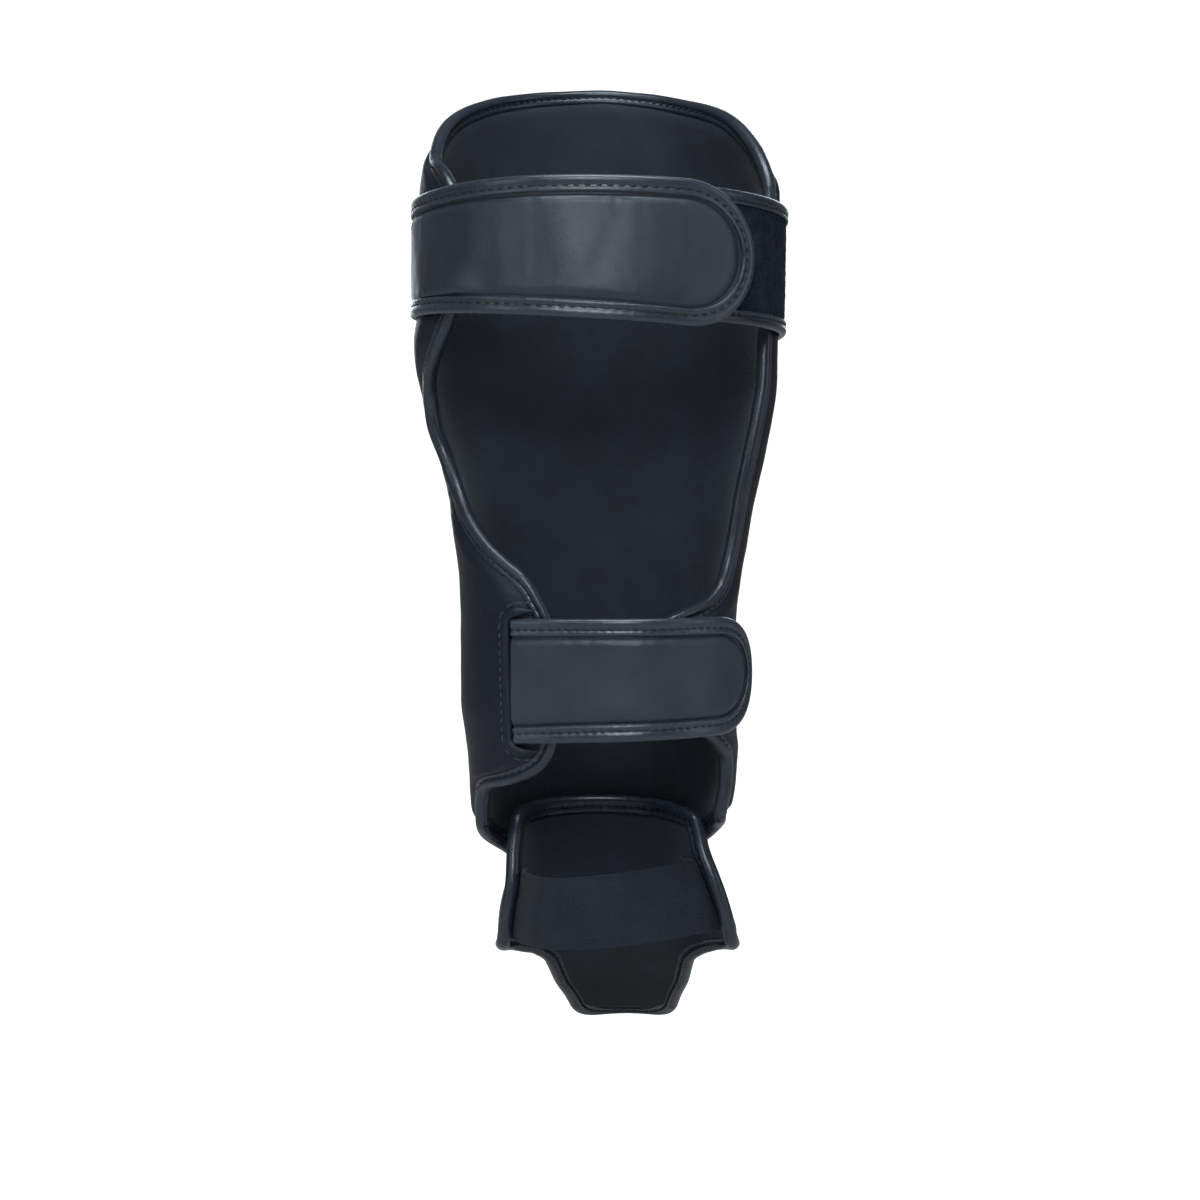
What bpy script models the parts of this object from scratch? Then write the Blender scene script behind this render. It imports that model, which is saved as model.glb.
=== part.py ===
"""Kickboxing shin guard in the form it has when worn: a padded shell round the shin, two
hook and loop straps behind the calf, and an instep pad held by an elastic heel band.

Metres, +Z up. The striking face looks along +Y and the straps close along -Y. The origin is
the middle of the leg, halfway up the guard. Angles round the leg are in degrees from the
front: +90 is the right side seen from behind, -90 the left side and 180 the back.
"""

import math
from collections import namedtuple

import bpy
import bmesh
import numpy as np

# Overall sizes
SHELL_HEIGHT = 0.412  # hem to crown of the shin shell, with its binding
HEM_DROP = 0.138  # hem of the shell below the origin
HOLLOW_WIDTH = 0.166  # inside width at the calf
HOLLOW_DEPTH = 0.130  # inside depth at the calf
MEAN_RADIUS = 0.067  # of the shell's rear edges, for laying them out flat
INSTEP_LENGTH = 0.181  # instep pad along its middle
INSTEP_HALF_WIDTH = 0.0555  # inside half width between the ankle ears
TUCK = 0.030  # how far the instep pad reaches up inside the shell

# Thicknesses
FOAM_THICKNESS = 0.022  # striking face of the shell
WING_THICKNESS = 0.008  # sides and wings of the shell
EDGE_THICKNESS = 0.0046  # any pad where its binding takes hold
INSTEP_THICKNESS = 0.0078
LINING_THICKNESS = 0.0014
STRAP_THICKNESS = 0.0024
STRAP_BORDER_THICKNESS = 0.0032
TAB_THICKNESS = 0.0022
PATCH_THICKNESS = 0.0017
ELASTIC_THICKNESS = 0.0014
CLEARANCE = 0.0004  # between any two pieces that lie on each other
WIDE_CLEARANCE = 0.0011  # between pieces whose facets do not line up

# Edges and trim
BINDING_RADIUS = 0.0025
INSTEP_BINDING_RADIUS = 0.0029
WELT_RADIUS = 0.0021
WELT_MARGIN = 0.0036  # from the strap's root to the middle of the welt
WELT_ARM = 0.011  # how far the welt runs along the strap at top and bottom
WELT_CORNER = 0.007  # radius of its two corners
SHELL_TAPER = 0.026  # width over which the foam thins towards the binding
INSTEP_TAPER = 0.020
LINING_MARGIN = 0.009  # bare rim between a pad's edge and its lining
STRAP_BORDER = 0.0080  # width of the folded border round a strap
TAB_BORDER = 0.0068

# Straps
UPPER_STRAP_ROOT = -74.0
UPPER_STRAP_TIP = -229.5
UPPER_STRAP_HEIGHTS = (0.1690, 0.1608)  # middle of the strap at root and tip
UPPER_STRAP_HALF_WIDTHS = (0.0290, 0.0345)
UPPER_TAB_SPAN = (60.0, 152.0)
UPPER_TAB_HEIGHT = 0.1630
UPPER_TAB_HALF_WIDTH = 0.0314
LOWER_STRAP_ROOT = -143.0
LOWER_STRAP_TIP = -258.0
LOWER_STRAP_HEIGHTS = (-0.0385, -0.0355)
LOWER_STRAP_HALF_WIDTHS = (0.0300, 0.0285)
LOWER_LOOP_SPAN = (116.0, 150.0)
PATCH_MARGIN = 0.0035  # hook patch inside the strap's border
PATCH_START = 0.74  # share of the strap's length where its hook patch begins

# Heel band
BAND_WIDTH = 0.035
BAND_HEIGHTS = (-0.1530, -0.1477)  # middle of the band at the left and right ear
BAND_HOLD = 0.78  # share of an ear's half wrap where the band is sewn on
BAND_LEAVES = 0.985  # share of it where the band leaves the ear
BAND_GAP = 0.0016  # between the band and the ear where it leaves
BAND_REACH = 0.054  # pull of the band's curve behind the leg's middle
BAND_SIDES = (-0.028, 0.008)  # where that pull acts, left and right

# Mesh fineness
SHELL_COLUMNS = 18
SHELL_ROWS = 40
STRAP_COLUMNS = 20
STRAP_ROWS = 6
TIP_COLUMNS = 12
PATCH_COLUMNS = 6
INSTEP_COLUMNS = 12
INSTEP_ROWS = 24
BAND_COLUMNS = 22
BAND_ROWS = 3
RIM_SHARE = 0.062  # first step of the shell's grid, as a share of half its girth
INSTEP_RIM_SHARE = 0.34  # the same for the instep pad, whose grid is finer at its sides
ROUND_SIDES = 1  # bevel resolution of a round edging, giving six sides

SectionRow = namedtuple("SectionRow", "rise left right front back")
OutlineRow = namedtuple("OutlineRow", "rise angle")
ProfileRow = namedtuple("ProfileRow", "angle rise")
InstepRow = namedtuple("InstepRow", "along forward drop pitch width depth wrap side flare")

# Inside of the shell: rise as a share of SHELL_HEIGHT above the hem, left and right as shares
# of half HOLLOW_WIDTH, front and back as shares of HOLLOW_DEPTH.
SECTIONS = [
    SectionRow(0.000, 0.620, 0.620, 0.430, 0.315),
    SectionRow(0.044, 0.665, 0.660, 0.423, 0.319),
    SectionRow(0.080, 0.686, 0.700, 0.419, 0.322),
    SectionRow(0.117, 0.692, 0.733, 0.416, 0.326),
    SectionRow(0.146, 0.700, 0.740, 0.417, 0.331),
    SectionRow(0.177, 0.717, 0.725, 0.418, 0.335),
    SectionRow(0.214, 0.740, 0.723, 0.420, 0.339),
    SectionRow(0.311, 0.741, 0.724, 0.433, 0.356),
    SectionRow(0.359, 0.753, 0.750, 0.444, 0.368),
    SectionRow(0.408, 0.783, 0.793, 0.457, 0.384),
    SectionRow(0.456, 0.817, 0.835, 0.471, 0.405),
    SectionRow(0.505, 0.895, 0.890, 0.483, 0.425),
    SectionRow(0.553, 0.980, 0.938, 0.496, 0.442),
    SectionRow(0.602, 1.003, 0.972, 0.506, 0.455),
    SectionRow(0.646, 1.025, 0.975, 0.514, 0.465),
    SectionRow(0.692, 0.993, 0.983, 0.521, 0.475),
    SectionRow(0.800, 0.993, 0.992, 0.532, 0.477),
    SectionRow(0.826, 0.988, 0.990, 0.535, 0.475),
    SectionRow(0.869, 0.957, 0.945, 0.541, 0.471),
    SectionRow(0.917, 0.930, 0.880, 0.548, 0.466),
    SectionRow(0.950, 0.898, 0.845, 0.554, 0.463),
    SectionRow(1.000, 0.840, 0.800, 0.562, 0.460),
]

# Rear edges of the shell with its binding, from the bottom corner up: how far each side wraps.
LEFT_EDGE = [
    OutlineRow(0.062, 97),
    OutlineRow(0.085, 102),
    OutlineRow(0.102, 108),
    OutlineRow(0.110, 116),
    OutlineRow(0.115, 127),
    OutlineRow(0.121, 138),
    OutlineRow(0.128, 146),
    OutlineRow(0.138, 152.5),
    OutlineRow(0.156, 158),
    OutlineRow(0.190, 161.5),
    OutlineRow(0.270, 162),
    OutlineRow(0.316, 158.5),
    OutlineRow(0.334, 155),
    OutlineRow(0.352, 151),
    OutlineRow(0.368, 145.5),
    OutlineRow(0.382, 138),
    OutlineRow(0.405, 126),
    OutlineRow(0.433, 113.5),
    OutlineRow(0.461, 102.5),
    OutlineRow(0.493, 95),
    OutlineRow(0.524, 92),
    OutlineRow(0.553, 92.5),
    OutlineRow(0.578, 96),
    OutlineRow(0.598, 103),
    OutlineRow(0.617, 112),
    OutlineRow(0.636, 119),
    OutlineRow(0.660, 124),
    OutlineRow(0.710, 127),
    OutlineRow(0.780, 127),
    OutlineRow(0.816, 125),
    OutlineRow(0.831, 121.5),
    OutlineRow(0.844, 116.5),
    OutlineRow(0.855, 110),
    OutlineRow(0.862, 104),
]
RIGHT_EDGE = [
    OutlineRow(0.070, 102),
    OutlineRow(0.095, 103),
    OutlineRow(0.118, 102),
    OutlineRow(0.136, 103),
    OutlineRow(0.150, 110),
    OutlineRow(0.162, 117),
    OutlineRow(0.172, 126),
    OutlineRow(0.182, 140),
    OutlineRow(0.200, 154),
    OutlineRow(0.230, 161),
    OutlineRow(0.270, 161),
    OutlineRow(0.300, 157),
    OutlineRow(0.315, 150),
    OutlineRow(0.322, 143),
    OutlineRow(0.328, 135.5),
    OutlineRow(0.335, 127.5),
    OutlineRow(0.346, 119.5),
    OutlineRow(0.363, 112),
    OutlineRow(0.390, 108),
    OutlineRow(0.430, 107),
    OutlineRow(0.500, 108.5),
    OutlineRow(0.600, 107),
    OutlineRow(0.680, 105),
    OutlineRow(0.780, 101),
    OutlineRow(0.810, 98),
]

# Crown and hem with their binding: rise of the outline at each angle, left side negative.
CROWN = [
    ProfileRow(-104, 0.862),
    ProfileRow(-98, 0.873),
    ProfileRow(-91, 0.891),
    ProfileRow(-84, 0.911),
    ProfileRow(-74, 0.934),
    ProfileRow(-60, 0.958),
    ProfileRow(-42, 0.980),
    ProfileRow(-20, 0.995),
    ProfileRow(0, 1.000),
    ProfileRow(20, 0.993),
    ProfileRow(42, 0.974),
    ProfileRow(58, 0.955),
    ProfileRow(70, 0.933),
    ProfileRow(80, 0.906),
    ProfileRow(88, 0.876),
    ProfileRow(94, 0.842),
    ProfileRow(98, 0.810),
]
HEM = [
    ProfileRow(-97, 0.062),
    ProfileRow(-84, 0.046),
    ProfileRow(-62, 0.024),
    ProfileRow(-50, 0.010),
    ProfileRow(-30, 0.002),
    ProfileRow(0, 0.000),
    ProfileRow(30, 0.004),
    ProfileRow(50, 0.016),
    ProfileRow(64, 0.032),
    ProfileRow(86, 0.058),
    ProfileRow(102, 0.070),
]

# Inside of the instep pad, from its tucked end to the toe end: forward and drop of the middle
# from the tucked end as shares of INSTEP_LENGTH, pitch of the section in degrees, half width
# and depth as shares of INSTEP_HALF_WIDTH, wrap in degrees to each side, and as shares of
# INSTEP_HALF_WIDTH the sideways turn of the foot and how far the right ear stands out.
INSTEP_SECTIONS = [
    InstepRow(0.000, 0.000, 0.000, 0, 0.71, 0.66, 76, -0.005, 0.105),
    InstepRow(0.080, 0.000, 0.080, 2, 0.735, 0.700, 86, 0.000, 0.125),
    InstepRow(0.155, 0.003, 0.155, 6, 0.805, 0.750, 91, 0.055, 0.110),
    InstepRow(0.225, 0.016, 0.224, 13, 0.93, 0.77, 94, 0.12, 0.045),
    InstepRow(0.265, 0.034, 0.260, 17, 0.98, 0.78, 93, 0.15, 0.010),
    InstepRow(0.300, 0.050, 0.288, 17, 1.00, 0.78, 86, 0.16, 0.0),
    InstepRow(0.330, 0.069, 0.312, 20, 1.00, 0.78, 73, 0.17, 0.0),
    InstepRow(0.360, 0.088, 0.334, 26, 0.97, 0.77, 60, 0.18, 0.0),
    InstepRow(0.400, 0.117, 0.362, 35, 0.92, 0.75, 50, 0.18, 0.0),
    InstepRow(0.480, 0.178, 0.414, 45, 0.84, 0.70, 45, 0.19, 0.0),
    InstepRow(0.600, 0.276, 0.485, 50, 0.77, 0.66, 45, 0.21, 0.0),
    InstepRow(0.740, 0.392, 0.563, 53, 0.68, 0.62, 43, 0.23, 0.0),
    InstepRow(0.870, 0.500, 0.635, 55, 0.61, 0.60, 41, 0.25, 0.0),
    InstepRow(1.000, 0.608, 0.706, 56, 0.56, 0.58, 38, 0.27, 0.0),
]
TOE_ROUNDING = 0.17  # share of the pad's length taken by its rounded toe end
TUCK_ROUNDING = 0.03

Finish = namedtuple("Finish", "color roughness metallic")
LEATHER = Finish((0.030, 0.034, 0.042), 0.45, 0.0)
BINDING_LEATHER = Finish((0.024, 0.027, 0.033), 0.40, 0.0)
LINING_CLOTH = Finish((0.016, 0.018, 0.024), 0.85, 0.0)
LOOP_PILE = Finish((0.010, 0.012, 0.017), 0.95, 0.0)
HOOK_TAPE = Finish((0.012, 0.012, 0.014), 0.70, 0.0)
ELASTIC_WEAVE = Finish((0.017, 0.020, 0.027), 0.80, 0.0)


def curve_through(xs, ys):
    """A smooth curve through the table's points that never swings past them."""
    xs = np.asarray(xs, float)
    ys = np.asarray(ys, float)
    widths = np.diff(xs)
    slopes = np.diff(ys) / widths
    tangents = np.zeros(len(xs))
    tangents[0], tangents[-1] = slopes[0], slopes[-1]
    for i in range(1, len(xs) - 1):
        if slopes[i - 1] * slopes[i] > 0:
            before = 2 * widths[i] + widths[i - 1]
            after = widths[i] + 2 * widths[i - 1]
            tangents[i] = (before + after) / (before / slopes[i - 1] + after / slopes[i])

    def value(x):
        x = np.clip(np.asarray(x, float), xs[0], xs[-1])
        i = np.clip(np.searchsorted(xs, x) - 1, 0, len(widths) - 1)
        width = widths[i]
        t = (x - xs[i]) / width
        return (
            ys[i] * (1 + 2 * t) * (1 - t) ** 2
            + tangents[i] * width * t * (1 - t) ** 2
            + ys[i + 1] * t**2 * (3 - 2 * t)
            + tangents[i + 1] * width * t**2 * (t - 1)
        )

    return value


def column(rows, name, scale=1.0, offset=0.0):
    return [getattr(row, name) * scale + offset for row in rows]


def height(rise):
    """Height above the origin of a share of the shell's height."""
    return rise * SHELL_HEIGHT - HEM_DROP


def ease(share):
    share = np.clip(share, 0, 1)
    return share * share * (3 - 2 * share)


SECTION_HEIGHTS = column(SECTIONS, "rise", SHELL_HEIGHT, -HEM_DROP)
left_at = curve_through(SECTION_HEIGHTS, column(SECTIONS, "left", HOLLOW_WIDTH / 2))
right_at = curve_through(SECTION_HEIGHTS, column(SECTIONS, "right", HOLLOW_WIDTH / 2))
front_at = curve_through(SECTION_HEIGHTS, column(SECTIONS, "front", HOLLOW_DEPTH))
back_at = curve_through(SECTION_HEIGHTS, column(SECTIONS, "back", HOLLOW_DEPTH))
crown_at = curve_through(column(CROWN, "angle"), column(CROWN, "rise"))
hem_at = curve_through(column(HEM, "angle"), column(HEM, "rise"))


def hollow_point(angle, z):
    """A point on the inside of the shell, or where it would be if it closed at the back."""
    turn = np.radians(angle)
    width = np.where(np.sin(turn) >= 0, right_at(z), left_at(z))
    depth = np.where(np.cos(turn) >= 0, front_at(z), back_at(z))
    return np.stack([width * np.sin(turn), depth * np.cos(turn), z + 0 * turn], -1)


def unit(vectors):
    return vectors / np.linalg.norm(vectors, axis=-1, keepdims=True)


def outward(angle, z):
    step_angle, step_z = 0.5, 0.001
    across = hollow_point(angle + step_angle, z) - hollow_point(angle - step_angle, z)
    along = hollow_point(angle, z + step_z) - hollow_point(angle, z - step_z)
    return unit(np.cross(along, across))


def wall(angle):
    """Full thickness of the shell: thick foam over the shin, thin at the sides and back."""
    flat_to, thin_from = 34.0, 72.0
    folded = np.abs((np.asarray(angle, float) + 180) % 360 - 180)
    share = ease((thin_from - folded) / (thin_from - flat_to))
    return WING_THICKNESS + (FOAM_THICKNESS - WING_THICKNESS) * share


def skin_point(angle, z, lift):
    """A point this far outside the full thickness of the shell."""
    return hollow_point(angle, z) + outward(angle, z) * (wall(angle) + lift)[..., None]


def edge_line(rows):
    """Angle and rise of the pad's rear edge, just inside its binding, by share of its length."""
    flat = np.stack(
        [np.radians(column(rows, "angle")) * MEAN_RADIUS, column(rows, "rise", SHELL_HEIGHT)], -1
    )
    along = np.cumsum(np.linalg.norm(np.diff(flat, axis=0, prepend=flat[:1]), axis=-1))
    fine = np.linspace(0, along[-1], 241)
    line = np.stack([curve_through(along, flat[:, axis])(fine) for axis in range(2)], -1)
    forward = unit(np.gradient(line, axis=0))
    inward = np.stack([-forward[:, 1], forward[:, 0]], -1)
    line = line + inward * (2 * BINDING_RADIUS + CLEARANCE)
    shares = fine / along[-1]

    def angle(share):
        return np.interp(share, shares, np.degrees(line[:, 0] / MEAN_RADIUS))

    def rise(share):
        return np.interp(share, shares, line[:, 1] / SHELL_HEIGHT)

    return angle, rise


left_angle, left_rise = edge_line(LEFT_EDGE)
right_angle, right_rise = edge_line(RIGHT_EDGE)


def bound(profile, angle, side):
    """Rise of the pad's crown or hem, inside its binding. The side is 1 for the hem."""
    step = 1.0
    slope = (profile(angle + step) - profile(angle - step)) * SHELL_HEIGHT
    slope = slope / (2 * math.radians(step) * MEAN_RADIUS)
    inset = (2 * BINDING_RADIUS + CLEARANCE) * np.minimum(np.hypot(1, slope), 1.4)
    return profile(angle) + side * inset / SHELL_HEIGHT


def shell_place(u, v):
    """Angle and height of the shell at u, -1 to 1 across, and v, 0 to 1 from hem to crown."""
    angle = np.where(u < 0, u * left_angle(v), u * right_angle(v))
    low = bound(hem_at, np.where(u < 0, u * left_angle(0), u * right_angle(0)), 1)
    high = bound(crown_at, np.where(u < 0, u * left_angle(1), u * right_angle(1)), -1)
    low_middle, high_middle = bound(hem_at, 0.0, 1), bound(crown_at, 0.0, -1)
    pull = 1 - (1 - np.abs(u)) ** 2

    def rise(share):
        middle = low_middle + (high_middle - low_middle) * share
        side = np.where(u < 0, left_rise(share), right_rise(share))
        return (1 - pull) * middle + pull * side

    hem, crown = (low - rise(0.0)) * (1 - v) ** 28, (high - rise(1.0)) * v**28
    return angle, height(rise(v) + hem + crown)


def even_shares(line, count):
    """Shares from 0 to 1 that part a line, given as a function of them, into equal lengths."""
    fine = np.linspace(0, 1, 401)
    steps = np.linalg.norm(np.diff(line(fine), axis=0), axis=-1)
    along = np.concatenate([[0], np.cumsum(steps)])
    return np.interp(np.linspace(0, along[-1], count + 1), along, fine)


def rim_spacing(count, border, low=-1.0, high=1.0):
    """Evenly spaced values whose first and last step is the border's share."""
    middle = np.linspace(low + border, high - border, count - 1)
    return np.concatenate([[low], middle, [high]])


def even_rim(place, first, second):
    """Moves the second line of a grid, on all four sides, to the lining's margin from its rim.
    The grid's two coordinates become points of the surface by place."""
    for _ in range(2):
        points = place(first, second)
        for edge, near, far in ((0, 1, 2), (-1, -2, -3)):
            share = LINING_MARGIN / np.linalg.norm(points[far] - points[edge], axis=-1)
            for values in (first, second):
                values[near] = values[edge] + (values[far] - values[edge]) * share
        first, second = first.T, second.T
    return first, second


def edge_distance(points):
    """Distance of each point of a grid to the grid's nearest side, along the surface."""
    across = np.linalg.norm(np.diff(points, axis=1), axis=-1)
    along = np.linalg.norm(np.diff(points, axis=0), axis=-1)
    zero_column = np.zeros((points.shape[0], 1))
    zero_row = np.zeros((1, points.shape[1]))
    from_left = np.hstack([zero_column, np.cumsum(across, axis=1)])
    from_low = np.vstack([zero_row, np.cumsum(along, axis=0)])
    to_right = from_left[:, -1:] - from_left
    to_high = from_low[-1:, :] - from_low
    return np.minimum(np.minimum(from_left, to_right), np.minimum(from_low, to_high))


def tapered(full, distance, taper):
    """Thickness of a pad that thins in a round shoulder towards its bound edge. The taper is
    the shoulder's width where the pad is thickest."""
    width = taper * full / np.max(full)
    share = np.sin(np.clip(distance / width, 0, 1) * math.pi / 2)
    return EDGE_THICKNESS + (full - EDGE_THICKNESS) * share


def new_material(name, finish):
    material = bpy.data.materials.new(name)
    material.use_nodes = True
    shader = material.node_tree.nodes["Principled BSDF"]
    shader.inputs["Base Color"].default_value = (*finish.color, 1)
    shader.inputs["Roughness"].default_value = finish.roughness
    shader.inputs["Metallic"].default_value = finish.metallic
    return material


def add_object(name, data, collection, finish):
    data.materials.append(new_material(name, finish))
    obj = bpy.data.objects.new(name, data)
    collection.objects.link(obj)
    return obj


def slab(name, inner, outer, collection, finish):
    """A closed piece lofted between two grids of points, one for each of its faces."""
    rows, columns = inner.shape[:2]
    mesh = bmesh.new()
    for points in (inner, outer):
        grid = bmesh.ops.create_grid(mesh, x_segments=columns - 1, y_segments=rows - 1, size=1)
        for vert, point in zip(grid["verts"], points.reshape(-1, 3)):
            vert.co = point
    rims = [edge for edge in mesh.edges if edge.is_boundary]
    bmesh.ops.bridge_loops(mesh, edges=rims)
    bmesh.ops.recalc_face_normals(mesh, faces=mesh.faces)
    bmesh.ops.triangulate(mesh, faces=mesh.faces, quad_method="SHORT_EDGE")
    data = bpy.data.meshes.new(name)
    mesh.to_mesh(data)
    mesh.free()
    data.shade_smooth()
    return add_object(name, data, collection, finish)


def rail(name, points, radius, collection, finish, closed=False):
    """A round edging along the points."""
    curve = bpy.data.curves.new(name, "CURVE")
    curve.dimensions = "3D"
    curve.bevel_depth = radius
    curve.bevel_resolution = ROUND_SIDES
    curve.use_fill_caps = not closed
    spline = curve.splines.new("POLY")
    spline.points.add(len(points) - 1)
    for place, point in zip(spline.points, points):
        place.co = (*point, 1)
    spline.use_cyclic_u = closed
    return add_object(name, curve, collection, finish)


def ring(grid):
    """The points round a grid's four sides, in order."""
    return np.concatenate([grid[0, :-1], grid[:-1, -1], grid[-1, :0:-1], grid[:0:-1, 0]])


def rim_path(inner, outer, radius):
    """The path of an edging just outside a pad's four sides, from the pad's two faces."""
    middles = (inner + outer) / 2
    edge = ring(middles)
    along = unit(np.roll(edge, -1, axis=0) - np.roll(edge, 1, axis=0))
    out = unit(np.cross(along, ring(outer - inner)))
    away = np.sign(np.sum(out * (edge - middles.mean(axis=(0, 1)))))
    return edge + away * out * (radius + CLEARANCE)


def grid_normals(points):
    across = np.gradient(points, axis=1)
    along = np.gradient(points, axis=0)
    return unit(np.cross(along, across))


def shell_parts(collection):
    """The padded shell, its lining and the binding round its edge."""
    us = rim_spacing(SHELL_COLUMNS, RIM_SHARE)
    vs = rim_spacing(SHELL_ROWS, RIM_SHARE / 2, 0.0, 1.0)
    angle, z = even_rim(hollow_point, *shell_place(*np.meshgrid(us, vs)))
    inside = hollow_point(angle, z)
    normal = outward(angle, z)
    outside = inside + normal * tapered(wall(angle), edge_distance(inside), SHELL_TAPER)[..., None]
    slab("shin_pad", inside, outside, collection, LEATHER)
    lining_parts("shin_lining", inside, normal, collection)
    path = rim_path(inside, outside, BINDING_RADIUS)
    rail("shin_binding", path, BINDING_RADIUS, collection, BINDING_LEATHER, closed=True)


def lining_parts(name, inside, normal, collection):
    """The cloth on the inner face of a pad, clear of its bound rim."""
    near = (inside - normal * WIDE_CLEARANCE)[1:-1:2, 1:-1:2]
    far = (inside - normal * (WIDE_CLEARANCE + LINING_THICKNESS))[1:-1:2, 1:-1:2]
    slab(name, far, near, collection, LINING_CLOTH)


class Wrap:
    """A band laid round the leg on the outside of the shell, measured flat: s runs along it
    from its root and h up from its middle."""

    def __init__(self, start, end, heights, half_widths, lifts):
        before = start + 12
        samples = np.linspace(before, end, 201)
        line = skin_point(samples, 0 * samples + sum(heights) / 2, 0 * samples)
        steps = np.linalg.norm(np.diff(line, axis=0), axis=-1)
        lengths = np.concatenate([[0], np.cumsum(steps)])
        lengths = lengths - np.interp(before - start, before - samples, lengths)
        self.length = lengths[-1]
        self.angle_at = lambda s: np.interp(s, lengths, samples)
        self.heights, self.half_widths, self.lifts = heights, half_widths, lifts

    def half_width(self, s):
        low, high = self.half_widths
        return low + (high - low) * np.clip(s / self.length, 0, 1)

    def lift(self, s):
        """The band rises gently from what its root lies on to what its tip lies on."""
        share = np.clip(s / self.length, 0, 1)
        return self.lifts[0] + (self.lifts[1] - self.lifts[0]) * ease((share - 0.2) / 0.35)

    def point(self, s, h, raise_by=0.0):
        middle = self.heights[0] + (self.heights[1] - self.heights[0]) * s / self.length
        return skin_point(self.angle_at(s), middle + h, self.lift(s) + raise_by)

    def panel(self, inset, columns, rows):
        """Grid over the strap, round at its tip, the inset inside its outline."""
        across = np.sin(np.linspace(-1, 1, rows + 1) * math.pi / 2)
        share, across = np.meshgrid(np.linspace(0, 1, columns + 1), across)
        radius = self.half_widths[1] - inset
        straight = self.length - self.half_widths[1]
        s = share * (straight + radius * np.sqrt(np.clip(1 - across**2, 0, 1)))
        return s, across * (self.half_width(s) - inset)

    def border(self, near, far, columns, arc_columns):
        """Grid over the border: root to tip along the top, round the tip and back, from the
        outline's inset near to its inset far."""
        straight = self.length - self.half_widths[1]
        run = np.linspace(0, straight, columns + 1)
        turn = np.linspace(math.pi / 2, -math.pi / 2, arc_columns + 1)[1:-1]
        s_rows, h_rows = [], []
        for inset in np.linspace(near, far, 3):
            edge = self.half_width(run) - inset
            radius = self.half_widths[1] - inset
            tip_edge = edge[-1] / radius
            s_rows.append(
                np.concatenate([run, straight + radius * np.cos(turn), run[::-1]])
            )
            h_rows.append(
                np.concatenate([edge, tip_edge * radius * np.sin(turn), -edge[::-1]])
            )
        return np.array(s_rows), np.array(h_rows)


def strap_parts(name, wrap, collection):
    """A strap's padded panel and the folded border sewn round it."""
    s, h = wrap.panel(STRAP_BORDER + WIDE_CLEARANCE, STRAP_COLUMNS, STRAP_ROWS)
    slab(name, wrap.point(s, h), wrap.point(s, h, STRAP_THICKNESS), collection, LEATHER)
    s, h = wrap.border(0, STRAP_BORDER, STRAP_COLUMNS, TIP_COLUMNS)
    under, over = wrap.point(s, h), wrap.point(s, h, STRAP_BORDER_THICKNESS)
    slab(f"{name}_binding", under, over, collection, BINDING_LEATHER)


def hook_patch(name, wrap, collection):
    """The hook tape sewn under a strap's tip."""
    share, h = wrap.panel(STRAP_BORDER + PATCH_MARGIN, PATCH_COLUMNS, STRAP_ROWS)
    end = share.max(axis=1, keepdims=True)
    start = wrap.length * PATCH_START
    s = start + share / end * (end - start)
    over, under = -WIDE_CLEARANCE, -(WIDE_CLEARANCE + PATCH_THICKNESS)
    slab(name, wrap.point(s, h, under), wrap.point(s, h, over), collection, HOOK_TAPE)


def skin_band(name, span, low, high, thickness, columns, rows, collection, finish):
    """A plain band that lies on the shell's skin."""
    angle, z = np.meshgrid(np.linspace(*span, columns + 1), np.linspace(low, high, rows + 1))
    under = skin_point(angle, z, CLEARANCE + 0 * z)
    over = skin_point(angle, z, CLEARANCE + thickness + 0 * z)
    slab(name, under, over, collection, finish)


def upper_closure(collection):
    """Loop-faced tab on the right, its two bound edges, and the strap that closes over it."""
    inner = UPPER_TAB_HALF_WIDTH - TAB_BORDER
    low, high = UPPER_TAB_HEIGHT - inner, UPPER_TAB_HEIGHT + inner
    ends = (low + CLEARANCE, high - CLEARANCE)
    skin_band("upper_loop_tab", UPPER_TAB_SPAN, *ends, TAB_THICKNESS, 16, 4, collection, LOOP_PILE)
    for label, edge, side in (("top", high, 1), ("bottom", low, -1)):
        ends = sorted((edge, edge + side * TAB_BORDER))
        skin_band(
            f"upper_tab_binding_{label}",
            UPPER_TAB_SPAN,
            *ends,
            STRAP_BORDER_THICKNESS,
            16,
            2,
            collection,
            BINDING_LEATHER,
        )
    over_tab = TAB_THICKNESS + PATCH_THICKNESS + 2 * (WIDE_CLEARANCE + CLEARANCE)
    strap = Wrap(
        UPPER_STRAP_ROOT,
        UPPER_STRAP_TIP,
        UPPER_STRAP_HEIGHTS,
        UPPER_STRAP_HALF_WIDTHS,
        (CLEARANCE * 2, over_tab),
    )
    strap_parts("upper_strap", strap, collection)
    hook_patch("upper_hook_patch", strap, collection)


def lower_closure(collection):
    """Loop patch on the right wing, the strap that closes over it, and the welt round the
    strap's root on the left wing."""
    over_loop = PATCH_THICKNESS * 2 + 2 * (WIDE_CLEARANCE + CLEARANCE)
    strap = Wrap(
        LOWER_STRAP_ROOT,
        LOWER_STRAP_TIP,
        LOWER_STRAP_HEIGHTS,
        LOWER_STRAP_HALF_WIDTHS,
        (CLEARANCE * 2, over_loop),
    )
    strap_parts("lower_strap", strap, collection)
    hook_patch("lower_hook_patch", strap, collection)
    half_width = LOWER_STRAP_HALF_WIDTHS[1] - STRAP_BORDER
    middle = LOWER_STRAP_HEIGHTS[1]
    ends = (middle - half_width, middle + half_width)
    skin_band(
        "lower_loop_patch", LOWER_LOOP_SPAN, *ends, PATCH_THICKNESS, 6, 2, collection, LOOP_PILE
    )
    rail("strap_welt", welt_path(strap), WELT_RADIUS, collection, BINDING_LEATHER)


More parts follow.
